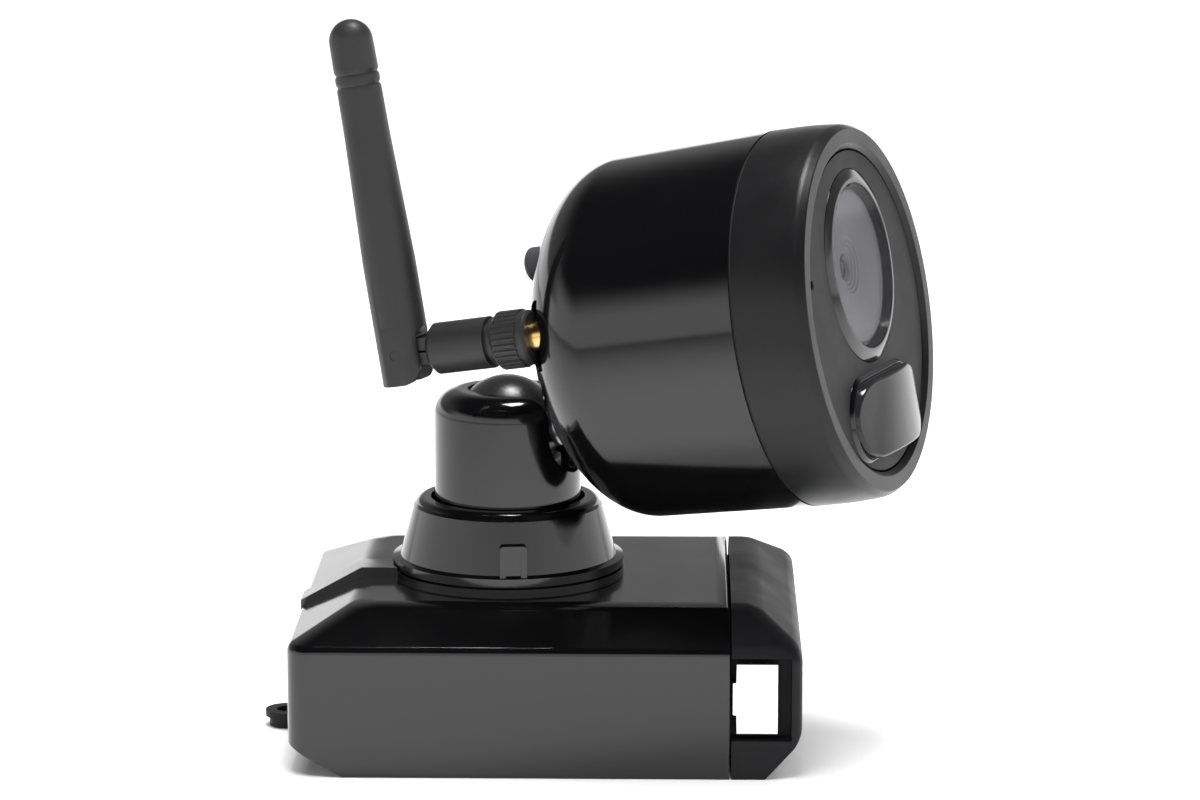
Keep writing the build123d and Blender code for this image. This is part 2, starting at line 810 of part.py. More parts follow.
with BuildPart() as cup_springs:
    # a stack of disc springs, each the other way up
    for index in range(disc_count):
        disc_bottom = seat_bottom - spring_height + index * (disc_cone + disc_thickness + running)
        outer_height = disc_bottom + (index % 2) * disc_cone
        inner_height = disc_bottom + (1 - index % 2) * disc_cone
        with BuildSketch(Plane.XZ):
            with BuildLine():
                Polyline(
                    (disc_inner_radius, inner_height),
                    (disc_outer_radius, outer_height),
                    (disc_outer_radius, outer_height + disc_thickness),
                    (disc_inner_radius, inner_height + disc_thickness),
                    close=True,
                )
            make_face()
        revolve(axis=Axis.Z)
finish(cup_springs, "cup_springs")

with BuildPart() as post_retainer:
    with BuildSketch(Plane.XZ):
        with BuildLine():
            Polyline(
                (cable_bore, spindle_bottom - retainer_floor),
                (retainer_radius, spindle_bottom - retainer_floor),
                (retainer_radius, roof_bottom - running),
                (spindle_radius + running, roof_bottom - running),
                (spindle_radius + running, spindle_bottom),
                (cable_bore, spindle_bottom),
                close=True,
            )
        make_face()
    revolve(axis=Axis.Z)
    with BuildSketch(Plane.XY.offset(spindle_bottom - retainer_floor)):
        with PolarLocations((spindle_radius + cable_bore) / 2, retainer_screw_count):
            Circle(retainer_screw_radius)
    extrude(amount=retainer_floor, mode=Mode.SUBTRACT)
finish(post_retainer, "post_retainer")

with BuildPart() as retainer_screws:
    with BuildSketch(Plane.XY.offset(spindle_bottom - retainer_floor)):
        with PolarLocations((spindle_radius + cable_bore) / 2, retainer_screw_count):
            Circle(retainer_screw_radius)
    extrude(amount=retainer_floor + retainer_screw_grip)
finish(retainer_screws, "retainer_screws")

with BuildPart() as friction_washer:
    with BuildSketch(Plane.XY.offset(boss_top)):
        Circle(post_foot_radius - slip)
        Circle(spindle_radius + slip, mode=Mode.SUBTRACT)
    extrude(amount=washer_thickness)
finish(friction_washer, "friction_washer")

# ---------------------------------------------------------------- ball and stem
stem_start = head_reach - ball_radius - running   # depths along the head axis
boss_face = stem_start - stem_neck
with BuildPart() as ball:
    with Locations(Location((0, 0, ball_height))):
        Sphere(ball_radius)
    with BuildSketch(station(head_reach + stem_pin_reach, 0, -head_rise)):
        Circle(stem_pin_radius + running)
    extrude(amount=ball_radius + stem_pin_reach + pin_bore_clear, mode=Mode.SUBTRACT)
finish(ball, "ball")

with BuildPart() as stem:
    with BuildSketch(station(head_reach + stem_pin_reach, 0, -head_rise)):
        Circle(stem_pin_radius)
    extrude(amount=stem_pin_reach + ball_radius + running)
    with BuildSketch(station(stem_start, 0, -head_rise)):
        Circle(stem_radius)
    extrude(amount=stem_neck)
    with BuildSketch(station(boss_face, 0, -head_rise)):
        Circle(stem_thread_radius)
    extrude(amount=stem_boss_length + stem_nut_length + stem_end)
finish(stem, "stem")

with BuildPart() as stem_nut:
    with BuildSketch(station(boss_face - stem_boss_length, 0, -head_rise)):
        RegularPolygon(stem_nut_radius, 6)
        Circle(stem_thread_radius, mode=Mode.SUBTRACT)
    extrude(amount=stem_nut_length)
finish(stem_nut, "stem_nut")

# ---------------------------------------------------------------- camera head shell
head_section = half_section()
head_axis = axis_of(head_section)
dome_rise = barrel_end_radius - dome_flat_radius
dome_length = head_length - barrel_length
spigot_radius = bezel_radius - head_wall - running
shell_front = bezel_length + seam


def shell_profile(inset):
    """Outer line of the shell at that inset: tapered barrel, then an elliptical rear dome."""
    with BuildLine() as profile:
        Line((bezel_radius - inset, -shell_front), (barrel_end_radius - inset, -barrel_length))
        EllipticalCenterArc(
            (dome_flat_radius, -barrel_length),
            dome_rise - inset,
            dome_length - inset,
            start_angle=270,
            arc_size=90,
        )
        Line((dome_flat_radius, -head_length + inset), (0, -head_length + inset))
        Line((0, -head_length + inset), (0, -shell_front))
        Line((0, -shell_front), (bezel_radius - inset, -shell_front))
    return profile.line


with BuildPart() as shell_form:
    with BuildSketch(head_section):
        add(shell_profile(0))
        make_face()
    revolve(axis=head_axis)

with BuildPart() as head_shell:
    add(shell_form.part)
    with BuildSketch(head_section):
        add(shell_profile(head_wall))
        make_face()
    revolve(axis=head_axis, mode=Mode.SUBTRACT)
    # flat-floored pocket around the antenna socket, with its own wall inside the shell
    with BuildSketch(station(head_length, antenna_side, antenna_rise)):
        Circle(antenna_pocket_radius + head_wall)
    extrude(amount=head_length - antenna_pocket_depth + head_wall)
    add(shell_form.part, mode=Mode.INTERSECT)
    with BuildSketch(station(bezel_length + spigot_length + slip)):
        Circle(spigot_radius + running)
    extrude(amount=spigot_length, mode=Mode.SUBTRACT)
    with BuildSketch(station(head_length, antenna_side, antenna_rise)):
        Circle(antenna_pocket_radius)
    extrude(amount=head_length - antenna_pocket_depth, mode=Mode.SUBTRACT)
    with BuildSketch(station(head_length, antenna_side, antenna_rise)):
        Circle(socket_thread_radius)
    extrude(amount=head_length - barrel_length, mode=Mode.SUBTRACT)
    # boss that the ball stem screws through
    with BuildSketch(station(boss_face, 0, -head_rise)):
        Circle(stem_boss_radius)
    extrude(amount=stem_boss_length)
    with BuildSketch(station(boss_face, 0, -head_rise)):
        Circle(stem_thread_radius)
    extrude(amount=stem_boss_length, mode=Mode.SUBTRACT)
    # hole for the pairing button
    with BuildSketch(station(head_length, button_side, button_rise)):
        Circle(button_radius + running)
    extrude(amount=head_length - barrel_length, mode=Mode.SUBTRACT)
finish(head_shell, "head_shell")

# ---------------------------------------------------------------- bezel and what closes the face
shelf_depth = plate_sink + face_plate_thickness
with BuildPart() as bezel:
    with BuildSketch(head_section):
        with BuildLine():
            Polyline(
                (recess_radius, -shelf_depth),
                (recess_radius, -plate_sink),
                (recess_outer_radius, 0),
                (face_radius, 0),
            )
            ThreePointArc(
                (face_radius, 0),
                ((face_radius + 2 * bezel_lip_radius) / 3, -bezel_lip_depth / 3),
                (bezel_lip_radius, -bezel_lip_depth),
            )
            Polyline(
                (bezel_lip_radius, -bezel_lip_depth),
                (bezel_radius, -bezel_length),
                (spigot_radius, -bezel_length),
                (spigot_radius, -bezel_length - spigot_length),
                (spigot_radius - head_wall, -bezel_length - spigot_length),
                (spigot_radius - head_wall, -shelf_depth - shelf_thickness),
                (recess_radius - shelf_width, -shelf_depth - shelf_thickness),
                (recess_radius - shelf_width, -shelf_depth),
                (recess_radius, -shelf_depth),
            )
        make_face()
    revolve(axis=head_axis)
finish(bezel, "bezel")

with BuildPart() as bezel_seal:
    with BuildSketch(station(shell_front)):
        Circle(bezel_radius - 0.5)
        Circle(spigot_radius, mode=Mode.SUBTRACT)
    extrude(amount=seam)
finish(bezel_seal, "bezel_seal")

with BuildPart() as face_plate:
    with BuildSketch(station(shelf_depth)):
        Circle(recess_radius - face_gap)
        with Locations((0, lens_rise)):
            Circle(lens_ring_radius + 0.1, mode=Mode.SUBTRACT)
        with Locations((0, -pir_drop)):
            SlotOverall(pir_width - 2 * pir_frame_wall, pir_height - 2 * pir_frame_wall, mode=Mode.SUBTRACT)
        with Locations((microphone_side, microphone_rise)):
            Circle(microphone_radius, mode=Mode.SUBTRACT)
    extrude(amount=face_plate_thickness)
finish(face_plate, "face_plate")

with BuildPart() as microphone:
    with BuildSketch(station(shelf_depth, microphone_side, microphone_rise)):
        Circle(microphone_radius - running)
    extrude(amount=face_plate_thickness - microphone_sink)
finish(microphone, "microphone")

# ---------------------------------------------------------------- lens group
lens_section = half_section(up=lens_rise)
lens_axis = axis_of(lens_section)
lens_front = plate_sink - lens_ring_proud
window_back = lens_front + window_thickness
baffle_front = window_back + 2 * running
ring_bore = baffle_radius + baffle_rim + 2 * running
baffle_back = baffle_front + baffle_depth + baffle_floor

with BuildPart() as lens_ring:
    with BuildSketch(lens_section):
        with BuildLine():
            Polyline(
                (window_radius + running, -lens_front),
                (lens_ring_front_radius, -lens_front),
                (lens_ring_radius, -plate_sink),
                (lens_ring_radius, -shelf_depth),
                (ring_bore, -shelf_depth),
                (ring_bore, -window_back),
                (window_radius + running, -window_back),
                close=True,
            )
        make_face()
    revolve(axis=lens_axis)
finish(lens_ring, "lens_ring")

with BuildPart() as lens_window:
    with BuildSketch(station(window_back, 0, lens_rise)):
        Circle(window_radius)
    extrude(amount=window_thickness)
finish(lens_window, "lens_window")

with BuildPart() as lens_baffle:
    with BuildSketch(lens_section):
        with BuildLine():
            ring_width = (baffle_radius - baffle_inner_radius) / baffle_steps
            step_depth = baffle_depth / baffle_steps
            stairs = [(baffle_radius + baffle_rim, -baffle_front)]
            for step in range(baffle_steps):
                edge_radius = baffle_radius - step * ring_width
                stairs.append((edge_radius, -baffle_front - step * step_depth))
                stairs.append((edge_radius - baffle_draft, -baffle_front - (step + 1) * step_depth))
            stairs.append((baffle_inner_radius, -baffle_front - baffle_depth))
            stairs.append((baffle_inner_radius, -baffle_back))
            stairs.append((baffle_radius + baffle_rim, -baffle_back))
            Polyline(*stairs, close=True)
        make_face()
    revolve(axis=lens_axis)
finish(lens_baffle, "lens_baffle")

with BuildPart() as lens_barrel:
    with BuildSketch(station(baffle_back + lens_tube_length, 0, lens_rise)):
        Circle(lens_tube_radius)
        Circle(baffle_inner_radius - 0.2, mode=Mode.SUBTRACT)
    extrude(amount=lens_tube_length)
finish(lens_barrel, "lens_barrel")

element_edge = baffle_front + baffle_depth + slip
with BuildPart() as lens_element:
    with BuildSketch(lens_section):
        with BuildLine():
            ThreePointArc(
                (0, -element_edge + element_crown),
                (element_radius / 2, -element_edge + element_crown * 0.75),
                (element_radius, -element_edge),
            )
            Polyline(
                (element_radius, -element_edge),
                (element_radius, -element_edge - element_thickness),
                (0, -element_edge - element_thickness),
                (0, -element_edge + element_crown),
            )
        make_face()
    revolve(axis=lens_axis)
finish(lens_element, "lens_element")

with BuildPart() as lens_iris:
    with BuildSketch(station(element_edge + iris_gap, 0, lens_rise)):
        Circle(element_radius)
        Circle(iris_radius, mode=Mode.SUBTRACT)
    extrude(amount=iris_thickness)
finish(lens_iris, "lens_iris")

sensor_depth = baffle_back + lens_tube_length
with BuildPart() as sensor_board:
    with BuildSketch(station(sensor_depth + board_thickness, 0, lens_rise)):
        Rectangle(sensor_board_size, sensor_board_size)
    extrude(amount=board_thickness)
finish(sensor_board, "sensor_board")

with BuildPart() as image_sensor:
    with BuildSketch(station(sensor_depth, 0, lens_rise)):
        Rectangle(image_sensor_width, image_sensor_height)
    extrude(amount=image_sensor_thickness)
finish(image_sensor, "image_sensor")

# ---------------------------------------------------------------- motion sensor
def pir_outline(inset):
    """The sensor's stadium outline, that far inside the frame's outer edge."""
    SlotOverall(pir_width - 2 * inset, pir_height - 2 * inset)


lens_inset = pir_frame_wall + pir_frame_gap
pir_peak = pir_proud - plate_sink
frame_top = plate_sink - pir_frame_rise

with BuildPart() as pir_frame:
    with BuildSketch(station(plate_sink, 0, -pir_drop)):
        pir_outline(0)
    extrude(amount=pir_frame_rise, taper=45)
    with BuildSketch(station(plate_sink, 0, -pir_drop)):
        pir_outline(pir_frame_wall)
    extrude(amount=pir_frame_rise, mode=Mode.SUBTRACT)
finish(pir_frame, "pir_frame")

with BuildPart() as pir_lens:
    # sloped wall, cut to a front that bulges about an upright axis
    with BuildSketch(station(frame_top, 0, -pir_drop)):
        pir_outline(lens_inset)
    with BuildSketch(station(-pir_peak - 1, 0, -pir_drop)):
        SlotOverall(pir_front_width - 1, pir_front_height)
    loft()
    bulge_origin = face_centre + forward * (pir_peak - pir_dome_radius) - rise * (pir_drop + pir_height)
    with BuildSketch(Plane(origin=bulge_origin, x_dir=side, z_dir=rise)):
        Circle(pir_dome_radius)
    extrude(amount=2 * pir_height, mode=Mode.INTERSECT)
    front_edges = pir_lens.faces().sort_by(Axis(face_centre, forward))[-1].edges()
    fillet(front_edges, pir_edge_radius)
    with BuildSketch(station(frame_top, 0, -pir_drop)):
        pir_outline(lens_inset)
    extrude(amount=frame_top - shelf_depth)
    with BuildSketch(station(shelf_depth, 0, -pir_drop)):
        pir_outline(lens_inset + pir_lens_wall)
    extrude(amount=shelf_depth, mode=Mode.SUBTRACT)
finish(pir_lens, "pir_lens")

with BuildPart() as pir_sensor:
    with BuildSketch(station(pir_board_depth, 0, -pir_drop)):
        Circle(pir_can_radius)
    extrude(amount=pir_can_height)
finish(pir_sensor, "pir_sensor")

with BuildPart() as pir_board:
    with BuildSketch(station(pir_board_depth + board_thickness, 0, -pir_drop)):
        RectangleRounded(pir_board_width, pir_board_height, pir_board_corner)
    extrude(amount=board_thickness)
finish(pir_board, "pir_board")

# ---------------------------------------------------------------- electronics in the head
def board_screw_circles(radius):
    """Circles of that radius on the board screws' axes, for a sketch square to the head axis."""
    with PolarLocations(board_screw_pcd / 2, board_screw_count, start_angle=60):
        Circle(radius)


board_back = main_board_depth + board_thickness
with BuildPart() as main_board:
    with BuildSketch(station(board_back)):
        Circle(main_board_radius)
    extrude(amount=board_thickness)
    with BuildSketch(station(board_back)):
        board_screw_circles(board_screw_radius)
    extrude(amount=board_thickness, mode=Mode.SUBTRACT)
finish(main_board, "main_board")

with BuildPart() as board_chips:
    with BuildSketch(station(main_board_depth, chip_side, processor_up)):
        Rectangle(processor_size, processor_size)
    extrude(amount=processor_height)
    with BuildSketch(station(main_board_depth, chip_side, module_up)):
        Rectangle(module_width, module_length)
    extrude(amount=module_height)
finish(board_chips, "board_chips")

with BuildPart() as board_pillars:
    pillar_length = main_board_depth - shelf_depth - shelf_thickness
    with BuildSketch(station(main_board_depth)):
        board_screw_circles(board_pillar_radius)
    extrude(amount=pillar_length)
    with BuildSketch(station(main_board_depth)):
        board_screw_circles(board_screw_radius)
    extrude(amount=pillar_length, mode=Mode.SUBTRACT)
finish(board_pillars, "board_pillars")

with BuildPart() as board_screws:
    with BuildSketch(station(board_back)):
        board_screw_circles(board_screw_radius)
    extrude(amount=board_screw_length)
    with BuildSketch(station(board_back + board_screw_head)):
        board_screw_circles(2 * board_screw_radius)
    extrude(amount=board_screw_head)
finish(board_screws, "board_screws")

# ---------------------------------------------------------------- pairing button
button_reach = sqrt(button_side ** 2 + button_rise ** 2)
dome_share = (button_reach - dome_flat_radius) / dome_rise
button_surface = barrel_length + dome_length * sqrt(1 - dome_share ** 2)

with BuildPart() as pair_button:
    with BuildSketch(half_section(button_side, button_rise)):
        with BuildLine():
            Line((0, -button_surface - button_proud), (0, -button_surface + button_stalk))
            Line((0, -button_surface + button_stalk), (button_radius, -button_surface + button_stalk))
            Line((button_radius, -button_surface + button_stalk), (button_radius, -button_surface - button_skirt))
            EllipticalCenterArc(
                (0, -button_surface - button_skirt),
                button_radius,
                button_proud - button_skirt,
                start_angle=270,
                arc_size=90,
            )
        make_face()
    revolve(axis=axis_of(half_section(button_side, button_rise)))
finish(pair_button, "pair_button")

with BuildPart() as pair_switch:
    switch_depth = button_surface - button_stalk - button_travel - 2 * running
    with BuildSketch(station(switch_depth, button_side, button_rise)):
        Circle(switch_plunger_radius)
    extrude(amount=switch_plunger)
    with BuildSketch(station(switch_depth - switch_plunger, button_side, button_rise)):
        Rectangle(switch_size, switch_size)
    extrude(amount=switch_height)
finish(pair_switch, "pair_switch")

with BuildPart() as switch_board:
    switch_back = switch_depth - switch_plunger - switch_height
    with BuildSketch(station(switch_back, button_side, button_rise)):
        RectangleRounded(switch_board_size, switch_board_size, switch_board_corner)
    extrude(amount=board_thickness)
    with BuildSketch(station(main_board_depth + board_thickness, button_side, button_rise)):
        Rectangle(switch_rib, switch_size)
    extrude(amount=-(switch_back - main_board_depth - board_thickness))
finish(switch_board, "switch_board")

# ---------------------------------------------------------------- antenna
antenna_section = half_section(antenna_side, antenna_rise)
antenna_axis = axis_of(antenna_section)
collar_front = socket_outer + slip
collar_back = collar_front + neck_collar
with BuildPart() as antenna_socket:
    with BuildSketch(station(socket_outer, antenna_side, antenna_rise)):
        Circle(socket_thread_radius - running)
    extrude(amount=socket_outer - socket_inner)
    with BuildSketch(station(socket_inner, antenna_side, antenna_rise)):
        Circle(socket_tail_radius)
    extrude(amount=socket_tail)
finish(antenna_socket, "antenna_socket")

with BuildPart() as antenna_nut:
    nut_end = nut_start + nut_length
    with BuildSketch(antenna_section):
        with BuildLine():
            Polyline(
                (socket_thread_radius, -nut_start),
                (nut_rim_radius - nut_bevel, -nut_start),
                (nut_rim_radius, -nut_start - nut_bevel),
                (nut_rim_radius, -nut_start - nut_rim),
                (nut_radius, -nut_start - nut_rim),
                (nut_radius, -nut_end + nut_bevel),
                (nut_radius - nut_bevel, -nut_end),
                (neck_radius + running, -nut_end),
                (neck_radius + running, -collar_back - running),
                (socket_thread_radius, -collar_back - running),
                close=True,
            )
        make_face()
    revolve(axis=antenna_axis)
    with BuildSketch(station(nut_end, antenna_side, antenna_rise)):
        with PolarLocations(nut_radius, knurl_count):
            Circle(knurl_radius)
    extrude(amount=nut_length - nut_rim, mode=Mode.SUBTRACT)
finish(antenna_nut, "antenna_nut")

with BuildPart() as antenna_knuckle:
    ring_radius = knuckle_radius - 0.5
    ring_start = nut_end + slip
    with BuildSketch(antenna_section):
        with BuildLine():
            Polyline(
                (0, -collar_front),
                (socket_thread_radius - running, -collar_front),
                (socket_thread_radius - running, -collar_back),
                (neck_radius, -collar_back),
                (neck_radius, -ring_start),
                (ring_radius, -ring_start),
                (ring_radius, -knuckle_start + knuckle_groove),
                (ring_radius - knuckle_groove, -knuckle_start + knuckle_groove),
                (ring_radius - knuckle_groove, -knuckle_start),
                (knuckle_radius, -knuckle_start),
                (knuckle_radius, -knuckle_end + knuckle_chamfer),
                (knuckle_radius - knuckle_chamfer, -knuckle_end),
                (0, -knuckle_end),
                close=True,
            )
        make_face()
    revolve(axis=antenna_axis)
    # tongue between the whip's ears, split along its middle
    with BuildSketch(half_section(antenna_side - tongue_thickness / 2, antenna_rise)):
        with Locations((0, -whip_pivot)):
            Circle(tongue_radius)
        with Locations((0, -(whip_pivot + knuckle_end) / 2)):
            Rectangle(2 * tongue_radius, whip_pivot - knuckle_end)
        with Locations((0, -whip_pivot)):
            Circle(whip_pin_radius + running, mode=Mode.SUBTRACT)
        with Locations((0, -(whip_pivot + knuckle_end) / 2)):
            Rectangle(tongue_slit, whip_pivot - knuckle_end, mode=Mode.SUBTRACT)
    extrude(amount=tongue_thickness)
finish(antenna_knuckle, "antenna_knuckle")

# the whip's own section: X is forward, Y is up the whip, with the hinge pin at zero
whip_pin_centre = face_centre - forward * whip_pivot + side * antenna_side + rise * antenna_rise
whip_section = Plane(origin=whip_pin_centre, x_dir=forward, z_dir=-side)
ear_gap = tongue_thickness / 2 + running
groove_outer = whip_shaft_radius - groove_depth / 4

with BuildPart() as antenna_whip:
    with BuildSketch(whip_section):
        with BuildLine():
            Polyline(
                (0, -whip_foot),
                (whip_foot_radius, -whip_foot),
                (whip_foot_radius, whip_flare_height),
                (whip_shaft_radius, whip_shaft_height),
                (groove_outer, whip_groove_height - groove_width),
                (whip_shaft_radius - groove_depth, whip_groove_height - groove_width / 2),
                (groove_outer, whip_groove_height),
                (groove_outer, whip_groove_height + groove_width),
                (whip_shaft_radius - groove_depth, whip_groove_height + 1.5 * groove_width),
                (groove_outer, whip_groove_height + 2 * groove_width),
                (whip_tip_radius, whip_height - whip_tip_radius),
            )
            ThreePointArc(
                (whip_tip_radius, whip_height - whip_tip_radius),
                (whip_tip_radius * sqrt(0.5), whip_height - whip_tip_radius * (1 - sqrt(0.5))),
                (0, whip_height),
            )
            Line((0, whip_height), (0, -whip_foot))
        make_face()
    revolve(axis=Axis(whip_section.origin, whip_section.y_dir))
    # flat outer faces on the two ears
    for facing in (-1, 1):
        with BuildSketch(whip_section.offset(facing * ear_face)):
            with Locations((0, (ear_height - whip_foot) / 2)):
                Rectangle(2 * whip_foot_radius, ear_height + whip_foot)
        extrude(amount=facing * whip_foot_radius, mode=Mode.SUBTRACT)
    # step in front of the ears, rounded heel, slot for the tongue and hole for the pin
    with BuildSketch(whip_section):
        with BuildLine():
            Polyline(
                (whip_foot_radius + 1, ear_step_top),
                (whip_foot_radius, ear_step_top),
                (ear_front, ear_step_bottom),
                (ear_front, heel_radius - whip_foot),
            )
            ThreePointArc(
                (ear_front, heel_radius - whip_foot),
                (ear_front - heel_radius * (1 - sqrt(0.5)), heel_radius * (1 - sqrt(0.5)) - whip_foot),
                (ear_front - heel_radius, -whip_foot),
            )
            Polyline(
                (ear_front - heel_radius, -whip_foot),
                (ear_front - heel_radius, -whip_foot - 1),
                (whip_foot_radius + 1, -whip_foot - 1),
                (whip_foot_radius + 1, ear_step_top),
            )
        make_face()
    extrude(amount=2 * whip_foot_radius, both=True, mode=Mode.SUBTRACT)
    with BuildSketch(whip_section):
        with Locations((0, (tongue_radius + slip - whip_foot) / 2)):
            Rectangle(4 * whip_foot_radius, whip_foot + tongue_radius + slip)
    extrude(amount=ear_gap, both=True, mode=Mode.SUBTRACT)
    with BuildSketch(whip_section):
        Circle(whip_pin_radius)
    extrude(amount=2 * whip_foot_radius, both=True, mode=Mode.SUBTRACT)
finish(antenna_whip, "antenna_whip")

with BuildPart() as whip_pin:
    with BuildSketch(whip_section):
        Circle(whip_pin_radius)
    extrude(amount=ear_face - 2 * running, both=True)
finish(whip_pin, "whip_pin")
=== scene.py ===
"""Looks of a battery security camera: base, lock collar, pan post, ball, round head and antenna."""

import json
import logging
import math
from collections.abc import Callable
from dataclasses import dataclass, field
from enum import Enum

import bpy
from mathutils import Matrix, Vector


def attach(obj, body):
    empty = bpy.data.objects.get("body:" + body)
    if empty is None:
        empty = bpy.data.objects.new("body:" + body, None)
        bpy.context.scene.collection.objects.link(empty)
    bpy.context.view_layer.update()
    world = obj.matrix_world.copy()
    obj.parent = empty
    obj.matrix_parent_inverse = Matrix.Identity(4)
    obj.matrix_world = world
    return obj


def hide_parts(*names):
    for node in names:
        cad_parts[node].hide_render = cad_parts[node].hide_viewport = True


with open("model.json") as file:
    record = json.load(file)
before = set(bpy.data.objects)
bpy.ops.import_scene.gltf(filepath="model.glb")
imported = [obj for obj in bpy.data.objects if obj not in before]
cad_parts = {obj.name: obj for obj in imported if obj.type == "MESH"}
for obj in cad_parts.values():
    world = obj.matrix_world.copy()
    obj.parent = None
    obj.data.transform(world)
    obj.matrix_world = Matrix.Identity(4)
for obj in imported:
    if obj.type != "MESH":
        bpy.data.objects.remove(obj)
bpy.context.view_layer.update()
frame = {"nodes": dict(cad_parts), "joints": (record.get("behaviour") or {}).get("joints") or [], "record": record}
LOG = logging.getLogger("security_camera")

MM = 0.001
SIDES = 160
SMOOTH_ANGLE = math.radians(32)
BROAD_SCALE = 90.0
SMUDGE_FROM = 0.3
SMUDGE_TO = 0.7
LEAST_ROUGHNESS = 0.02
MERGE_DISTANCE = 0.00001
FLAT_ANGLE = math.radians(0.4)
LEVEL = 0.01
NEAR = 0.1
OVERCUT = 1.0

Point = tuple[float, float]
Triple = tuple[float, float, float]
Piece = bpy.types.Object
Tree = bpy.types.NodeTree
Socket = bpy.types.NodeSocket
Shade = tuple[float, float, float, float]


# ---------------------------------------------------------------- finishes
class Pattern(Enum):
    """What a finish shows besides its moulded grain."""

    PLAIN = "plain"
    BRUSHED = "brushed"
    TRACKS = "tracks"
    WOVEN = "woven"
    BANDED = "banded"


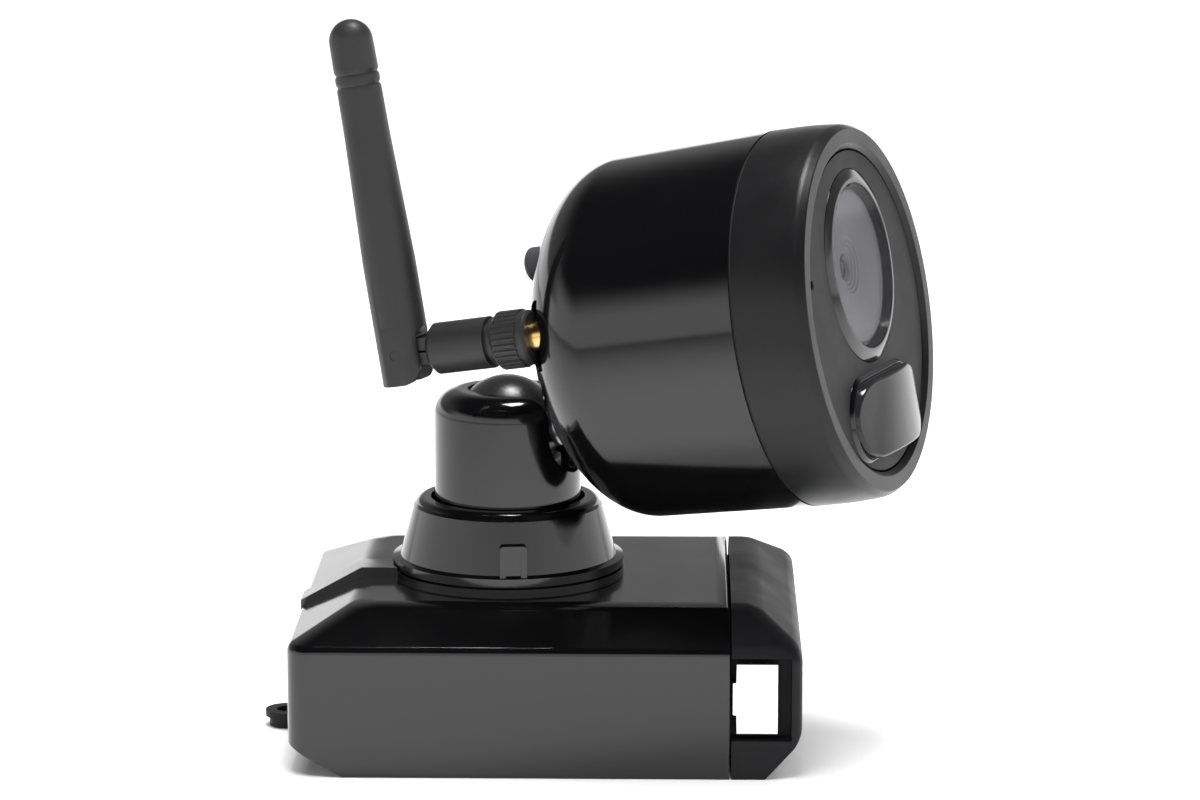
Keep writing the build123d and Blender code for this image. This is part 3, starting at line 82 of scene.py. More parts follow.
@dataclass(frozen=True)
class Finish:
    """A surface finish, with its grain in metres.

    Args:
        slot: The record's material slot.
        colour: Linear base colour.
        roughness: Middle roughness.
        metallic: 1 for bare metal.
        grain: Size of the surface texture's bumps.
        relief: Height of those bumps.
        mottle: How far the colour varies, as a share.
        smudge: How far the roughness varies.
        opacity: Under 1 for clear parts.
        pattern: The larger pattern on the surface.
        second: The pattern's other colour.
        specular: Strength of the reflection, 0.5 as usual.
        pitch: Spacing of the pattern.
    """

    slot: str
    colour: Triple
    roughness: float
    metallic: float = 0.0
    grain: float = 0.0004
    relief: float = 0.000004
    mottle: float = 0.12
    smudge: float = 0.05
    opacity: float = 1.0
    pattern: Pattern = Pattern.PLAIN
    second: Triple = (0.02, 0.02, 0.02)
    specular: float = 0.5
    pitch: float = 0.002

    def material(self) -> bpy.types.Material:
        """Make the finish's node material once.

        Returns:
            The Blender material of this finish.
        """
        known = bpy.data.materials.get(f"finish_{self.slot}")
        if known is not None:
            return known
        made = bpy.data.materials.new(f"finish_{self.slot}")
        made.use_nodes = True
        tree = made.node_tree
        shader = tree.nodes["Principled BSDF"]
        shader.inputs["Metallic"].default_value = self.metallic
        shader.inputs["Specular IOR Level"].default_value = self.specular
        if self.opacity < 1.0:
            shader.inputs["Alpha"].default_value = self.opacity
        place = tree.nodes.new("ShaderNodeTexCoord")
        fine = self._noise(tree, place, 1.0 / self.grain, 2.0)
        broad = self._noise(tree, place, BROAD_SCALE, 4.0)
        colour = self._mix(tree, broad, self._shade(1.0 - self.mottle), self._shade(1.0 + self.mottle))
        colour = self._patterned(tree, place, colour)
        tree.links.new(colour, shader.inputs["Base Color"])
        rough = tree.nodes.new("ShaderNodeMapRange")
        rough.inputs["From Min"].default_value = SMUDGE_FROM
        rough.inputs["From Max"].default_value = SMUDGE_TO
        rough.inputs["To Min"].default_value = max(LEAST_ROUGHNESS, self.roughness - self.smudge)
        rough.inputs["To Max"].default_value = self.roughness + self.smudge
        tree.links.new(broad, rough.inputs["Value"])
        tree.links.new(rough.outputs["Result"], shader.inputs["Roughness"])
        bump = tree.nodes.new("ShaderNodeBump")
        bump.inputs["Strength"].default_value = 1.0
        bump.inputs["Distance"].default_value = self.relief
        tree.links.new(fine, bump.inputs["Height"])
        tree.links.new(bump.outputs["Normal"], shader.inputs["Normal"])
        return made

    def _shade(self, share: float) -> Shade:
        """The base colour times a share."""
        return tuple(min(1.0, part * share) for part in self.colour) + (1.0,)

    @staticmethod
    def _noise(
        tree: Tree, place: bpy.types.Node, scale: float, detail: float, stretch: Triple = (1.0, 1.0, 1.0)
    ) -> Socket:
        """Add a noise texture on object coordinates.

        Args:
            tree: The material's node tree.
            place: The texture coordinate node.
            scale: Noise scale, per metre.
            detail: Noise detail.
            stretch: Scale of each axis before the noise.

        Returns:
            The noise's value socket.
        """
        mapping = tree.nodes.new("ShaderNodeMapping")
        mapping.inputs["Scale"].default_value = stretch
        noise = tree.nodes.new("ShaderNodeTexNoise")
        noise.inputs["Scale"].default_value = scale
        noise.inputs["Detail"].default_value = detail
        tree.links.new(place.outputs["Object"], mapping.inputs["Vector"])
        tree.links.new(mapping.outputs["Vector"], noise.inputs["Vector"])
        return noise.outputs["Fac"]

    @staticmethod
    def _mix(tree: Tree, factor: Socket, first: Shade | Socket, second: Shade | Socket) -> Socket:
        """Blend two colours.

        Args:
            tree: The material's node tree.
            factor: The socket that blends them.
            first: Colour or socket at factor 0.
            second: Colour or socket at factor 1.

        Returns:
            The blend's colour socket.
        """
        mix = tree.nodes.new("ShaderNodeMix")
        mix.data_type = "RGBA"
        tree.links.new(factor, mix.inputs["Factor"])
        for name, value in (("A", first), ("B", second)):
            socket = [s for s in mix.inputs if s.name == name and s.type == "RGBA"][0]
            if isinstance(value, tuple):
                socket.default_value = value
            else:
                tree.links.new(value, socket)
        return [s for s in mix.outputs if s.type == "RGBA"][0]

    def _patterned(self, tree: Tree, place: bpy.types.Node, colour: Socket) -> Socket:
        """Lay the finish's pattern over its colour.

        Args:
            tree: The material's node tree.
            place: The texture coordinate node.
            colour: The colour socket so far.

        Returns:
            The colour socket with the pattern.
        """
        if self.pattern is Pattern.PLAIN:
            return colour
        if self.pattern is Pattern.BRUSHED:
            lines = self._noise(tree, place, 400.0, 3.0, (1.0, 1.0, 14.0))
            return self._mix(tree, lines, colour, self.second + (1.0,))
        if self.pattern is Pattern.TRACKS:
            tracks = tree.nodes.new("ShaderNodeTexBrick")
            tracks.inputs["Scale"].default_value = 1.0 / self.pitch
            tracks.inputs["Mortar Size"].default_value = 0.06
            tracks.inputs["Color1"].default_value = (0.0, 0.0, 0.0, 1.0)
            tracks.inputs["Color2"].default_value = (0.15, 0.15, 0.15, 1.0)
            tracks.inputs["Mortar"].default_value = (1.0, 1.0, 1.0, 1.0)
            tree.links.new(place.outputs["Object"], tracks.inputs["Vector"])
            return self._mix(tree, tracks.outputs["Color"], colour, self.second + (1.0,))
        wave = tree.nodes.new("ShaderNodeTexWave")
        wave.inputs["Scale"].default_value = 0.3 / self.pitch
        wave.inputs["Distortion"].default_value = 0.4 if self.pattern is Pattern.WOVEN else 0.0
        wave.bands_direction = "DIAGONAL" if self.pattern is Pattern.WOVEN else "X"
        tree.links.new(place.outputs["Object"], wave.inputs["Vector"])
        return self._mix(tree, wave.outputs["Fac"], colour, self.second + (1.0,))


FINISHES = {
    finish.slot: finish
    for finish in (
        Finish("gloss_black", (0.0022, 0.0022, 0.0025), 0.11, grain=0.0025, relief=0.0000012, smudge=0.025),
        Finish("satin_black", (0.005, 0.005, 0.0055), 0.33, grain=0.00026, relief=0.00003, smudge=0.04,
               specular=0.24),
        Finish("satin_charcoal", (0.009, 0.009, 0.010), 0.46, grain=0.00028, relief=0.000012, specular=0.12),
        Finish("face_grey", (0.016, 0.016, 0.017), 0.5, grain=0.0003, relief=0.000004, specular=0.11),
        Finish("frosted_grey", (0.11, 0.11, 0.118), 0.36, grain=0.0003, relief=0.000006),
        Finish("lens_glass", (0.03, 0.03, 0.035), 0.04, grain=0.004, relief=0.0000005, opacity=0.16,
               smudge=0.01),
        Finish("pir_gloss", (0.012, 0.012, 0.013), 0.12, grain=0.003, relief=0.000001, smudge=0.03,
               specular=0.3),
        Finish("mesh_black", (0.01, 0.01, 0.01), 0.7, pattern=Pattern.WOVEN, pitch=0.0004),
        Finish("ball_black", (0.012, 0.012, 0.0125), 0.26, grain=0.00028, relief=0.00003),
        Finish("antenna_black", (0.013, 0.013, 0.0135), 0.42, grain=0.0003, relief=0.00002, smudge=0.06,
               mottle=0.3, specular=0.34),
        Finish("button_rubber", (0.028, 0.028, 0.03), 0.62, grain=0.0003, relief=0.00001),
        Finish("seal_rubber", (0.012, 0.012, 0.012), 0.75, grain=0.0004, relief=0.00001),
        Finish("polished_steel", (0.8, 0.8, 0.81), 0.12, metallic=1.0, grain=0.0012, relief=0.000002,
               pattern=Pattern.BRUSHED, second=(0.7, 0.7, 0.71)),
        Finish("steel", (0.52, 0.52, 0.54), 0.32, metallic=1.0, pattern=Pattern.BRUSHED,
               second=(0.4, 0.4, 0.42)),
        Finish("brass", (0.72, 0.5, 0.2), 0.24, metallic=1.0, pattern=Pattern.BRUSHED,
               second=(0.55, 0.36, 0.13)),
        Finish("gold_contact", (0.9, 0.65, 0.27), 0.2, metallic=1.0),
        Finish("acetal", (0.55, 0.54, 0.5), 0.42, grain=0.0005, relief=0.000006),
        Finish("circuit_board", (0.012, 0.07, 0.03), 0.35, pattern=Pattern.TRACKS, second=(0.05, 0.16, 0.06)),
        Finish("chip_black", (0.02, 0.02, 0.021), 0.5, grain=0.0002, relief=0.000008),
        Finish("cell_sleeve", (0.03, 0.09, 0.22), 0.3, pattern=Pattern.BANDED, second=(0.02, 0.05, 0.14),
               pitch=0.012),
    )
}


# ---------------------------------------------------------------- shaping tools
def alone(piece: Piece) -> None:
    """Select only one piece, and make it active.

    Args:
        piece: The piece.
    """
    bpy.ops.object.select_all(action="DESELECT")
    piece.select_set(True)
    bpy.context.view_layer.objects.active = piece


def edit(piece: Piece) -> None:
    """Enter edit mode on a piece with everything selected.

    Args:
        piece: The piece.
    """
    alone(piece)
    bpy.ops.object.mode_set(mode="EDIT")
    bpy.ops.mesh.select_all(action="SELECT")


def leave() -> None:
    """Leave edit mode."""
    bpy.ops.object.mode_set(mode="OBJECT")


def arc(centre: Point, radius: float, start: float, end: float, steps: int, flat: float = 1.0) -> list[Point]:
    """Points of an arc in a profile.

    Args:
        centre: The arc's centre, as radius and height.
        radius: The arc's radius.
        start: First angle in degrees, from the radial direction.
        end: Last angle in degrees.
        steps: Number of chords.
        flat: Height of the arc as a share of its radius, for an ellipse.

    Returns:
        The points, both ends included.
    """
    points = []
    for step in range(steps + 1):
        angle = math.radians(start + (end - start) * step / steps)
        points.append((centre[0] + radius * math.cos(angle), centre[1] + flat * radius * math.sin(angle)))
    return points


class Ends(Enum):
    """How a turned shape is closed."""

    CAPPED = "capped"
    RING = "ring"


def turned(name: str, profile: list[Point], ends: Ends, sides: int = SIDES) -> Piece:
    """Turn a profile about Z: a ring of edges is extruded and resized from point to point.

    Args:
        name: The piece's name.
        profile: Radius and height of each point, in millimetres.
        ends: Whether the ends are capped or the last ring joins the first.
        sides: Number of facets round the axis.

    Returns:
        The turned piece, about the Z axis at the origin.
    """
    radius, height = profile[0]
    bpy.ops.object.select_all(action="DESELECT")
    bpy.ops.mesh.primitive_circle_add(vertices=sides, radius=radius * MM, fill_type="NOTHING")
    piece = bpy.context.active_object
    piece.name = name
    edit(piece)
    bpy.ops.transform.translate(value=(0, 0, height * MM))
    if ends is Ends.CAPPED:
        bpy.ops.mesh.edge_face_add()
        bpy.ops.mesh.select_all(action="SELECT")
    for next_radius, next_height in profile[1:]:
        if ends is Ends.CAPPED:
            bpy.ops.mesh.extrude_region()
        else:
            bpy.ops.mesh.extrude_edges_indiv()
        bpy.ops.transform.translate(value=(0, 0, (next_height - height) * MM))
        scale = next_radius / radius
        bpy.ops.transform.resize(value=(scale, scale, 1.0), center_override=(0, 0, next_height * MM))
        radius, height = next_radius, next_height
    if ends is Ends.RING:
        bpy.ops.mesh.select_all(action="DESELECT")
        bpy.ops.mesh.select_mode(type="EDGE")
        bpy.ops.mesh.select_non_manifold()
        bpy.ops.mesh.bridge_edge_loops()
        bpy.ops.mesh.select_mode(type="VERT")
    bpy.ops.mesh.select_all(action="SELECT")
    bpy.ops.mesh.normals_make_consistent(inside=False)
    leave()
    return piece


def block(name: str, low: Triple, high: Triple) -> Piece:
    """Make a box as the start of a moulded piece.

    Args:
        name: The piece's name.
        low: Lowest corner, in millimetres.
        high: Highest corner.

    Returns:
        The box, with its place in its mesh.
    """
    centre = [(a + b) / 2 * MM for a, b in zip(low, high)]
    bpy.ops.object.select_all(action="DESELECT")
    bpy.ops.mesh.primitive_cube_add(size=1.0, location=centre)
    piece = bpy.context.active_object
    piece.name = name
    piece.scale = [(b - a) * MM for a, b in zip(low, high)]
    bpy.ops.object.transform_apply(location=True, rotation=True, scale=True)
    return piece


def sliced(piece: Piece, point: Triple, outward: Triple) -> None:
    """Cut away what lies outward of a plane, and close the cut.

    Args:
        piece: The piece.
        point: A point on the plane, in millimetres.
        outward: Direction of the side that goes.
    """
    edit(piece)
    bpy.ops.mesh.bisect(
        plane_co=[part * MM for part in point], plane_no=Vector(outward).normalized(),
        use_fill=True, clear_outer=True, threshold=1e-7,
    )
    leave()


def rounded_edges(piece: Piece, chosen: Callable[[Vector, Vector], bool], radius: float, steps: int) -> None:
    """Round the edges that a test picks.

    Args:
        piece: The piece.
        chosen: A test of an edge's two corner places, in millimetres.
        radius: Radius in millimetres.
        steps: Number of facets in the round.
    """
    edit(piece)
    bpy.ops.mesh.select_all(action="DESELECT")
    bpy.ops.mesh.select_mode(type="EDGE")
    leave()
    corners = piece.data.vertices
    for line in piece.data.edges:
        first, second = (corners[index].co / MM for index in line.vertices)
        line.select = bool(chosen(first, second))
    bpy.ops.object.mode_set(mode="EDIT")
    bpy.ops.mesh.bevel(offset=radius * MM, segments=steps, affect="EDGES")
    bpy.ops.mesh.select_mode(type="VERT")
    leave()


def combined(piece: Piece, tool: Piece, operation: str) -> None:
    """Cut a tool from a piece, or join it on, and remove the tool.

    Args:
        piece: The piece that changes.
        tool: The other solid.
        operation: DIFFERENCE, UNION or INTERSECT.
    """
    alone(piece)
    bpy.ops.object.modifier_add(type="BOOLEAN")
    change = piece.modifiers[-1]
    change.operation = operation
    change.solver = "EXACT"
    change.object = tool
    bpy.ops.object.modifier_apply(modifier=change.name)
    bpy.data.objects.remove(tool, do_unlink=True)


def softened(piece: Piece, width: float, steps: int = 3, angle: float = 30.0) -> None:
    """Round every sharp edge a little, as a mould does, and smooth the shading.

    Args:
        piece: The piece.
        width: Width of the round in millimetres.
        steps: Number of facets.
        angle: Edges sharper than this many degrees are rounded.
    """
    alone(piece)
    bpy.ops.object.modifier_add(type="BEVEL")
    change = piece.modifiers[-1]
    change.width = width * MM
    change.segments = steps
    change.limit_method = "ANGLE"
    change.angle_limit = math.radians(angle)
    bpy.ops.object.modifier_apply(modifier=change.name)
    bpy.ops.object.shade_smooth_by_angle(angle=SMOOTH_ANGLE)
    bpy.ops.object.modifier_add(type="WEIGHTED_NORMAL")
    weigh = piece.modifiers[-1]
    weigh.keep_sharp = True
    weigh.weight = 90
    bpy.ops.object.modifier_apply(modifier=weigh.name)


def placed(piece: Piece, place: Matrix) -> Piece:
    """Set a piece in its place, with that place in its mesh.

    Args:
        piece: The piece.
        place: Its place, in metres.

    Returns:
        The same piece.
    """
    piece.matrix_world = place
    alone(piece)
    bpy.ops.object.transform_apply(location=True, rotation=True, scale=True)
    return piece


def dressed(piece: Piece, slot: str, body: str, *nodes: str) -> Piece:
    """Give a finished piece its material, its body and the nodes that it stands for.

    Args:
        piece: The piece.
        slot: The record's material slot.
        body: The body that it rides on.
        nodes: CAD nodes that it replaces.

    Returns:
        The same piece.
    """
    piece.data.materials.clear()
    piece.data.materials.append(FINISHES[slot].material())
    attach(piece, body)
    if nodes:
        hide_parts(*nodes)
    LOG.info("%s: %d faces on %s", piece.name, len(piece.data.polygons), body)
    return piece


def traced(node: str, slot: str, body: str, width: float, steps: int = 2) -> Piece:
    """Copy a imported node's mesh as a fresh piece, merge it, and round its sharp edges.

    Args:
        node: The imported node.
        slot: The record's material slot.
        body: The body that it rides on.
        width: Width of the edge bevel, in millimetres.
        steps: Segments across the bevel.

    Returns:
        The fresh piece, dressed.
    """
    source = frame["nodes"][node]
    piece = bpy.data.objects.new(f"{node}_skin", source.data.copy())
    piece.matrix_world = source.matrix_world.copy()
    bpy.context.scene.collection.objects.link(piece)
    piece.data.materials.clear()
    edit(piece)
    bpy.ops.mesh.remove_doubles(threshold=MERGE_DISTANCE)
    bpy.ops.mesh.dissolve_limited(angle_limit=FLAT_ANGLE)
    bpy.ops.mesh.normals_make_consistent(inside=False)
    leave()
    softened(piece, width, steps)
    return dressed(piece, slot, body, node)


def joint(name: str) -> dict:
    """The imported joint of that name."""
    return next(entry for entry in frame["joints"] if entry["name"] == name)


@dataclass
class HeadFrame:
    """The head's own axes: X across, Y up, Z forward, with zero at the middle of the front ring."""

    reach: float = 84.4
    rise: float = 15.7

    @property
    def forward(self) -> Vector:
        """Unit vector along the head's axis."""
        return Vector(joint("roll")["axis"]).normalized()

    @property
    def across(self) -> Vector:
        """Level unit vector across the head."""
        return -Vector(joint("tilt")["axis"]).normalized()

    def at(self, across: float = 0.0, up: float = 0.0, forward: float = 0.0) -> Matrix:
        """The place of a piece on the head.

        Args:
            across: Distance across from the front ring's middle, in millimetres.
            up: Distance up from it.
            forward: Distance forward of it.

        Returns:
            The matrix of that place, in metres.
        """
        upward = self.forward.cross(self.across)
        ball = Vector(joint("tilt")["pos_m"])
        start = ball + self.forward * (self.reach + forward) * MM + upward * (self.rise + up) * MM
        start += self.across * across * MM
        place = Matrix((self.across, upward, self.forward)).transposed().to_4x4()
        place.translation = start
        return place


# ---------------------------------------------------------------- camera head
@dataclass
class CameraHead:
    """The round casing: rear shell, front bezel and face plate."""

    place: HeadFrame
    bezel_radius: float = 38.6
    lip_radius: float = 38.2
    face_radius: float = 37.04
    bezel_length: float = 15.2
    lip_depth: float = 3.2
    lip_flat: float = 2.2
    shoulder: tuple[Point, ...] = ((0.3, 1.0), (0.62, 2.6), (0.88, 4.6), (1.0, 7.0))
    recess_outer: float = 34.0
    recess: float = 32.95
    sink: float = 1.0
    shelf_depth: float = 4.0
    shelf_width: float = 4.0
    seam: float = 0.4
    barrel_end: float = 37.5
    barrel_length: float = 49.0
    length: float = 69.0
    dome_flat: float = 3.5
    wall: float = 2.2
    pocket_radius: float = 7.3
    pocket_side: float = -29.0
    pocket_rise: float = 6.0
    pocket_floor: float = 60.0
    thread_radius: float = 3.15
    button_side: float = -12.0
    button_rise: float = 18.9
    button_radius: float = 3.65
    stem_radius: float = 3.5
    drill_end: float = 50.0
    stem_end: float = 60.0
    spigot: float = 4.0
    spigot_gap: float = 0.05
    rim: float = 2.0
    shell_edge: float = 0.3
    bezel_edge: float = 0.22

    def shell(self) -> Piece:
        """Turn the shell with its hollow, then cut the antenna pocket and the holes.

        Returns:
            The rear shell.
        """
        front = self.bezel_length + self.seam
        dome = self.barrel_end - self.dome_flat
        share = (self.length - self.barrel_length) / dome
        outer = [(self.bezel_radius, -front)]
        outer += arc((self.dome_flat, -self.barrel_length), dome, 0, -90, 40, share)
        hollow = dome - self.wall
        share = (self.length - self.barrel_length - self.wall) / hollow
        inner = arc((self.dome_flat, -self.barrel_length), hollow, -90, 0, 24, share)
        inner.append((self.bezel_radius - self.wall, -front))
        form = turned("head_shell_skin", outer, Ends.CAPPED)
        mouth = (self.bezel_radius - self.wall, -front + self.rim)
        core = turned("shell_core", [*inner, mouth], Ends.CAPPED)
        combined(form, core, "DIFFERENCE")
        depth = self.length - self.pocket_floor
        well = turned(
            "pocket_wall",
            [(self.pocket_radius + self.wall, -self.length - 2.0),
             (self.pocket_radius + self.wall, -self.pocket_floor + self.wall)],
            Ends.CAPPED, 64,
        )
        placed(well, Matrix.Translation((self.pocket_side * MM, self.pocket_rise * MM, 0)))
        trim = turned("pocket_trim", outer, Ends.CAPPED)
        combined(well, trim, "INTERSECT")
        combined(form, well, "UNION")
        pocket = turned(
            "pocket", [(self.pocket_radius, -self.length - 2.0), (self.pocket_radius, -self.length + depth)],
            Ends.CAPPED, 96,
        )
        self._bore(form, pocket, self.pocket_side, self.pocket_rise)
        for radius, start, end, sides, across, up in (
            (self.thread_radius, self.length, self.drill_end, 48, self.pocket_side, self.pocket_rise),
            (self.button_radius, self.length, self.drill_end, 64, self.button_side, self.button_rise),
            (self.stem_radius, self.length + 4.0, self.stem_end, 64, 0.0, -self.place.rise),
        ):
            drill = turned("drill", [(radius, -start), (radius, -end)], Ends.CAPPED, sides)
            self._bore(form, drill, across, up)
        softened(form, self.shell_edge)
        return form

    @staticmethod
    def _bore(form: Piece, tool: Piece, across: float, up: float) -> None:
        """Cut a turned tool out of the form.

        Args:
            form: The shell.
            tool: The turned tool.
            across: Its place across the head, in millimetres.
            up: Its place up the head.
        """
        placed(tool, Matrix.Translation((across * MM, up * MM, 0)))
        combined(form, tool, "DIFFERENCE")

    def bezel(self) -> Piece:
        """Turn the front ring with its rolled lip, recess and spigot.

        Returns:
            The bezel.
        """
        inner = self.bezel_radius - self.wall - self.spigot_gap
        back = self.bezel_length
        shelf = self.recess - self.shelf_width
        shelf_back = self.shelf_depth + self.rim
        lip = [(self.face_radius, 0.0)]
        fall = self.lip_radius - self.face_radius
        lip += arc((self.face_radius, -self.lip_depth), fall, 60, 20, 5, self.lip_flat)
        swell = self.bezel_radius - self.lip_radius
        lip += [(self.lip_radius + share * swell, -self.lip_depth - drop) for share, drop in self.shoulder]
        profile = [
            (self.recess, -self.shelf_depth), (self.recess, -self.sink), (self.recess_outer, 0.0), *lip,
            (self.bezel_radius, -back), (inner, -back), (inner, -back - self.spigot),
            (inner - self.wall, -back - self.spigot), (inner - self.wall, -shelf_back),
            (shelf, -shelf_back), (shelf, -self.shelf_depth),
        ]
        piece = turned("front_bezel", profile, Ends.RING, 192)
        softened(piece, self.bezel_edge)
        return piece

    def build(self) -> None:
        """Make the casing pieces and dress them."""
        home = self.place.at()
        dressed(placed(self.shell(), home), "gloss_black", "head", "head_shell")
        dressed(placed(self.bezel(), home), "satin_black", "head", "bezel")
        traced("face_plate", "face_grey", "head", 0.15)
        traced("pir_frame", "gloss_black", "head", 0.15)
        traced("pir_lens", "pir_gloss", "head", 0.35, 4)
        traced("pair_button", "button_rubber", "button", 0.4, 3)


@dataclass
class Antenna:
    """The antenna on its brass thread: knurled nut, knuckle and whip."""

    fine_edge: float = 0.12
    soft_edge: float = 0.3

    def build(self) -> None:
        """Make the antenna's pieces from the outside in."""
        traced("antenna_socket", "brass", "head", self.fine_edge)
        traced("antenna_nut", "antenna_black", "head", self.fine_edge)
        traced("antenna_knuckle", "antenna_black", "knuckle", self.soft_edge)
        traced("antenna_whip", "antenna_black", "whip", self.soft_edge)
        traced("whip_pin", "antenna_black", "knuckle", self.fine_edge)


@dataclass
class LensGroup:
    """What the round window shows: its ring, the clear window and the stepped baffle."""

    place: HeadFrame
    rise: float = 9.2
    sink: float = 1.0
    proud: float = 0.8
    ring_radius: float = 19.7
    ring_front: float = 17.8
    window_radius: float = 16.8
    window_thickness: float = 1.5
    shelf_depth: float = 4.0
    baffle_radius: float = 14.8
    baffle_inner: float = 5.6
    steps: int = 7
    baffle_depth: float = 1.4
    riser: float = 0.42
    well_inner: float = 2.2
    well_steps: int = 4
    well_depth: float = 1.3
    well_clearance: float = 0.4
    lens_bulge: float = 0.5
    lens_gap: float = 0.1
    lens_sink: float = 0.7
    lens_edge: float = 0.8
    lens_turns: tuple[float, ...] = (0.4, 0.8, 1.15, 1.45)
    rim: float = 0.7
    floor: float = 1.0
    skirt: float = 0.8
    fit: float = 0.05
    window_bevel: float = 0.25
    ring_edge: float = 0.12
    window_edge: float = 0.06
    fine_edge: float = 0.05

    def ring(self) -> Piece:
        """Turn the sloped ring round the window.

        Returns:
            The ring.
        """
        front = -(self.sink - self.proud)
        back = front - self.window_thickness
        bore = self.window_radius + self.fit
        profile = [
            (bore, front), (self.ring_front, front), (self.ring_radius, -self.sink),
            (self.ring_radius, -self.shelf_depth), (self.baffle_radius + self.skirt, -self.shelf_depth),
            (self.baffle_radius + self.skirt, back), (bore, back),
        ]
        piece = turned("window_ring", profile, Ends.RING, 144)
        softened(piece, self.ring_edge)
        return piece

    def window(self) -> Piece:
        """Turn the clear window with a fine bevel round its front.

        Returns:
            The window.
        """
        front = -(self.sink - self.proud)
        bevel = self.window_bevel
        profile = [
            (self.window_radius, front - self.window_thickness), (self.window_radius, front - bevel),
            (self.window_radius - bevel, front),
        ]
        piece = turned("clear_window", profile, Ends.CAPPED, 144)
        softened(piece, self.window_edge, 2)
        return piece

    def baffle(self) -> Piece:
        """Turn the frosted baffle, stepping in and down to the lens.

        Returns:
            The baffle.
        """
        front = self.baffle_front
        floor = front - self.baffle_depth
        back = floor - self.floor
        well_back = floor - self.well_depth - self.floor
        profile = [(self.baffle_radius + self.rim, back), (self.baffle_radius + self.rim, front)]
        profile += self._stairs(self.baffle_radius, self.baffle_inner, front, self.baffle_depth, self.steps)
        profile += self._stairs(self.baffle_inner, self.well_inner, floor, self.well_depth, self.well_steps)
        outside = self.baffle_inner - self.well_clearance
        profile += [(self.well_inner, well_back), (outside, well_back), (outside, back)]
        piece = turned("stepped_baffle", profile, Ends.RING, 144)
        softened(piece, self.fine_edge, 2)
        return piece

    @property
    def baffle_front(self) -> float:
        """Height of the baffle's rim, just behind the window."""
        return -(self.sink - self.proud) - self.window_thickness - self.lens_gap

    def _stairs(self, outer: float, inner: float, top: float, depth: float, steps: int) -> list[Point]:
        """Points of round steps that go in and down.

        Args:
            outer: Radius of the outermost edge.
            inner: Radius of the floor.
            top: Height of the first tread.
            depth: Total depth.
            steps: Number of steps.

        Returns:
            The points, ending on the floor at the inner radius.
        """
        points = []
        for step in range(steps):
            edge = outer - step * (outer - inner) / steps
            points.append((edge, top - step * depth / steps))
            points.append((edge - self.riser, top - (step + 1) * depth / steps))
        return points

    def lens(self) -> Piece:
        """Turn the small domed lens in the baffle's well.

        Returns:
            The lens.
        """
        rim = self.baffle_front - self.baffle_depth - self.well_depth - self.lens_sink
        edge = self.well_inner - self.lens_gap
        profile = [(edge, rim - self.lens_edge), (edge, rim)]
        for angle in self.lens_turns:
            profile.append((edge * math.cos(angle), rim + self.lens_bulge * math.sin(angle)))
        piece = turned("front_lens", profile, Ends.CAPPED, 64)
        softened(piece, self.fine_edge, 2)
        return piece

    def build(self) -> None:
        """Make the lens group's visible pieces and dress them."""
        home = self.place.at(up=self.rise)
        dressed(placed(self.ring(), home), "gloss_black", "head", "lens_ring")
        dressed(placed(self.window(), home), "lens_glass", "head", "lens_window")
        dressed(placed(self.baffle(), home), "frosted_grey", "head", "lens_baffle", "lens_iris")
        dressed(placed(self.lens(), home), "pir_gloss", "head", "lens_element")


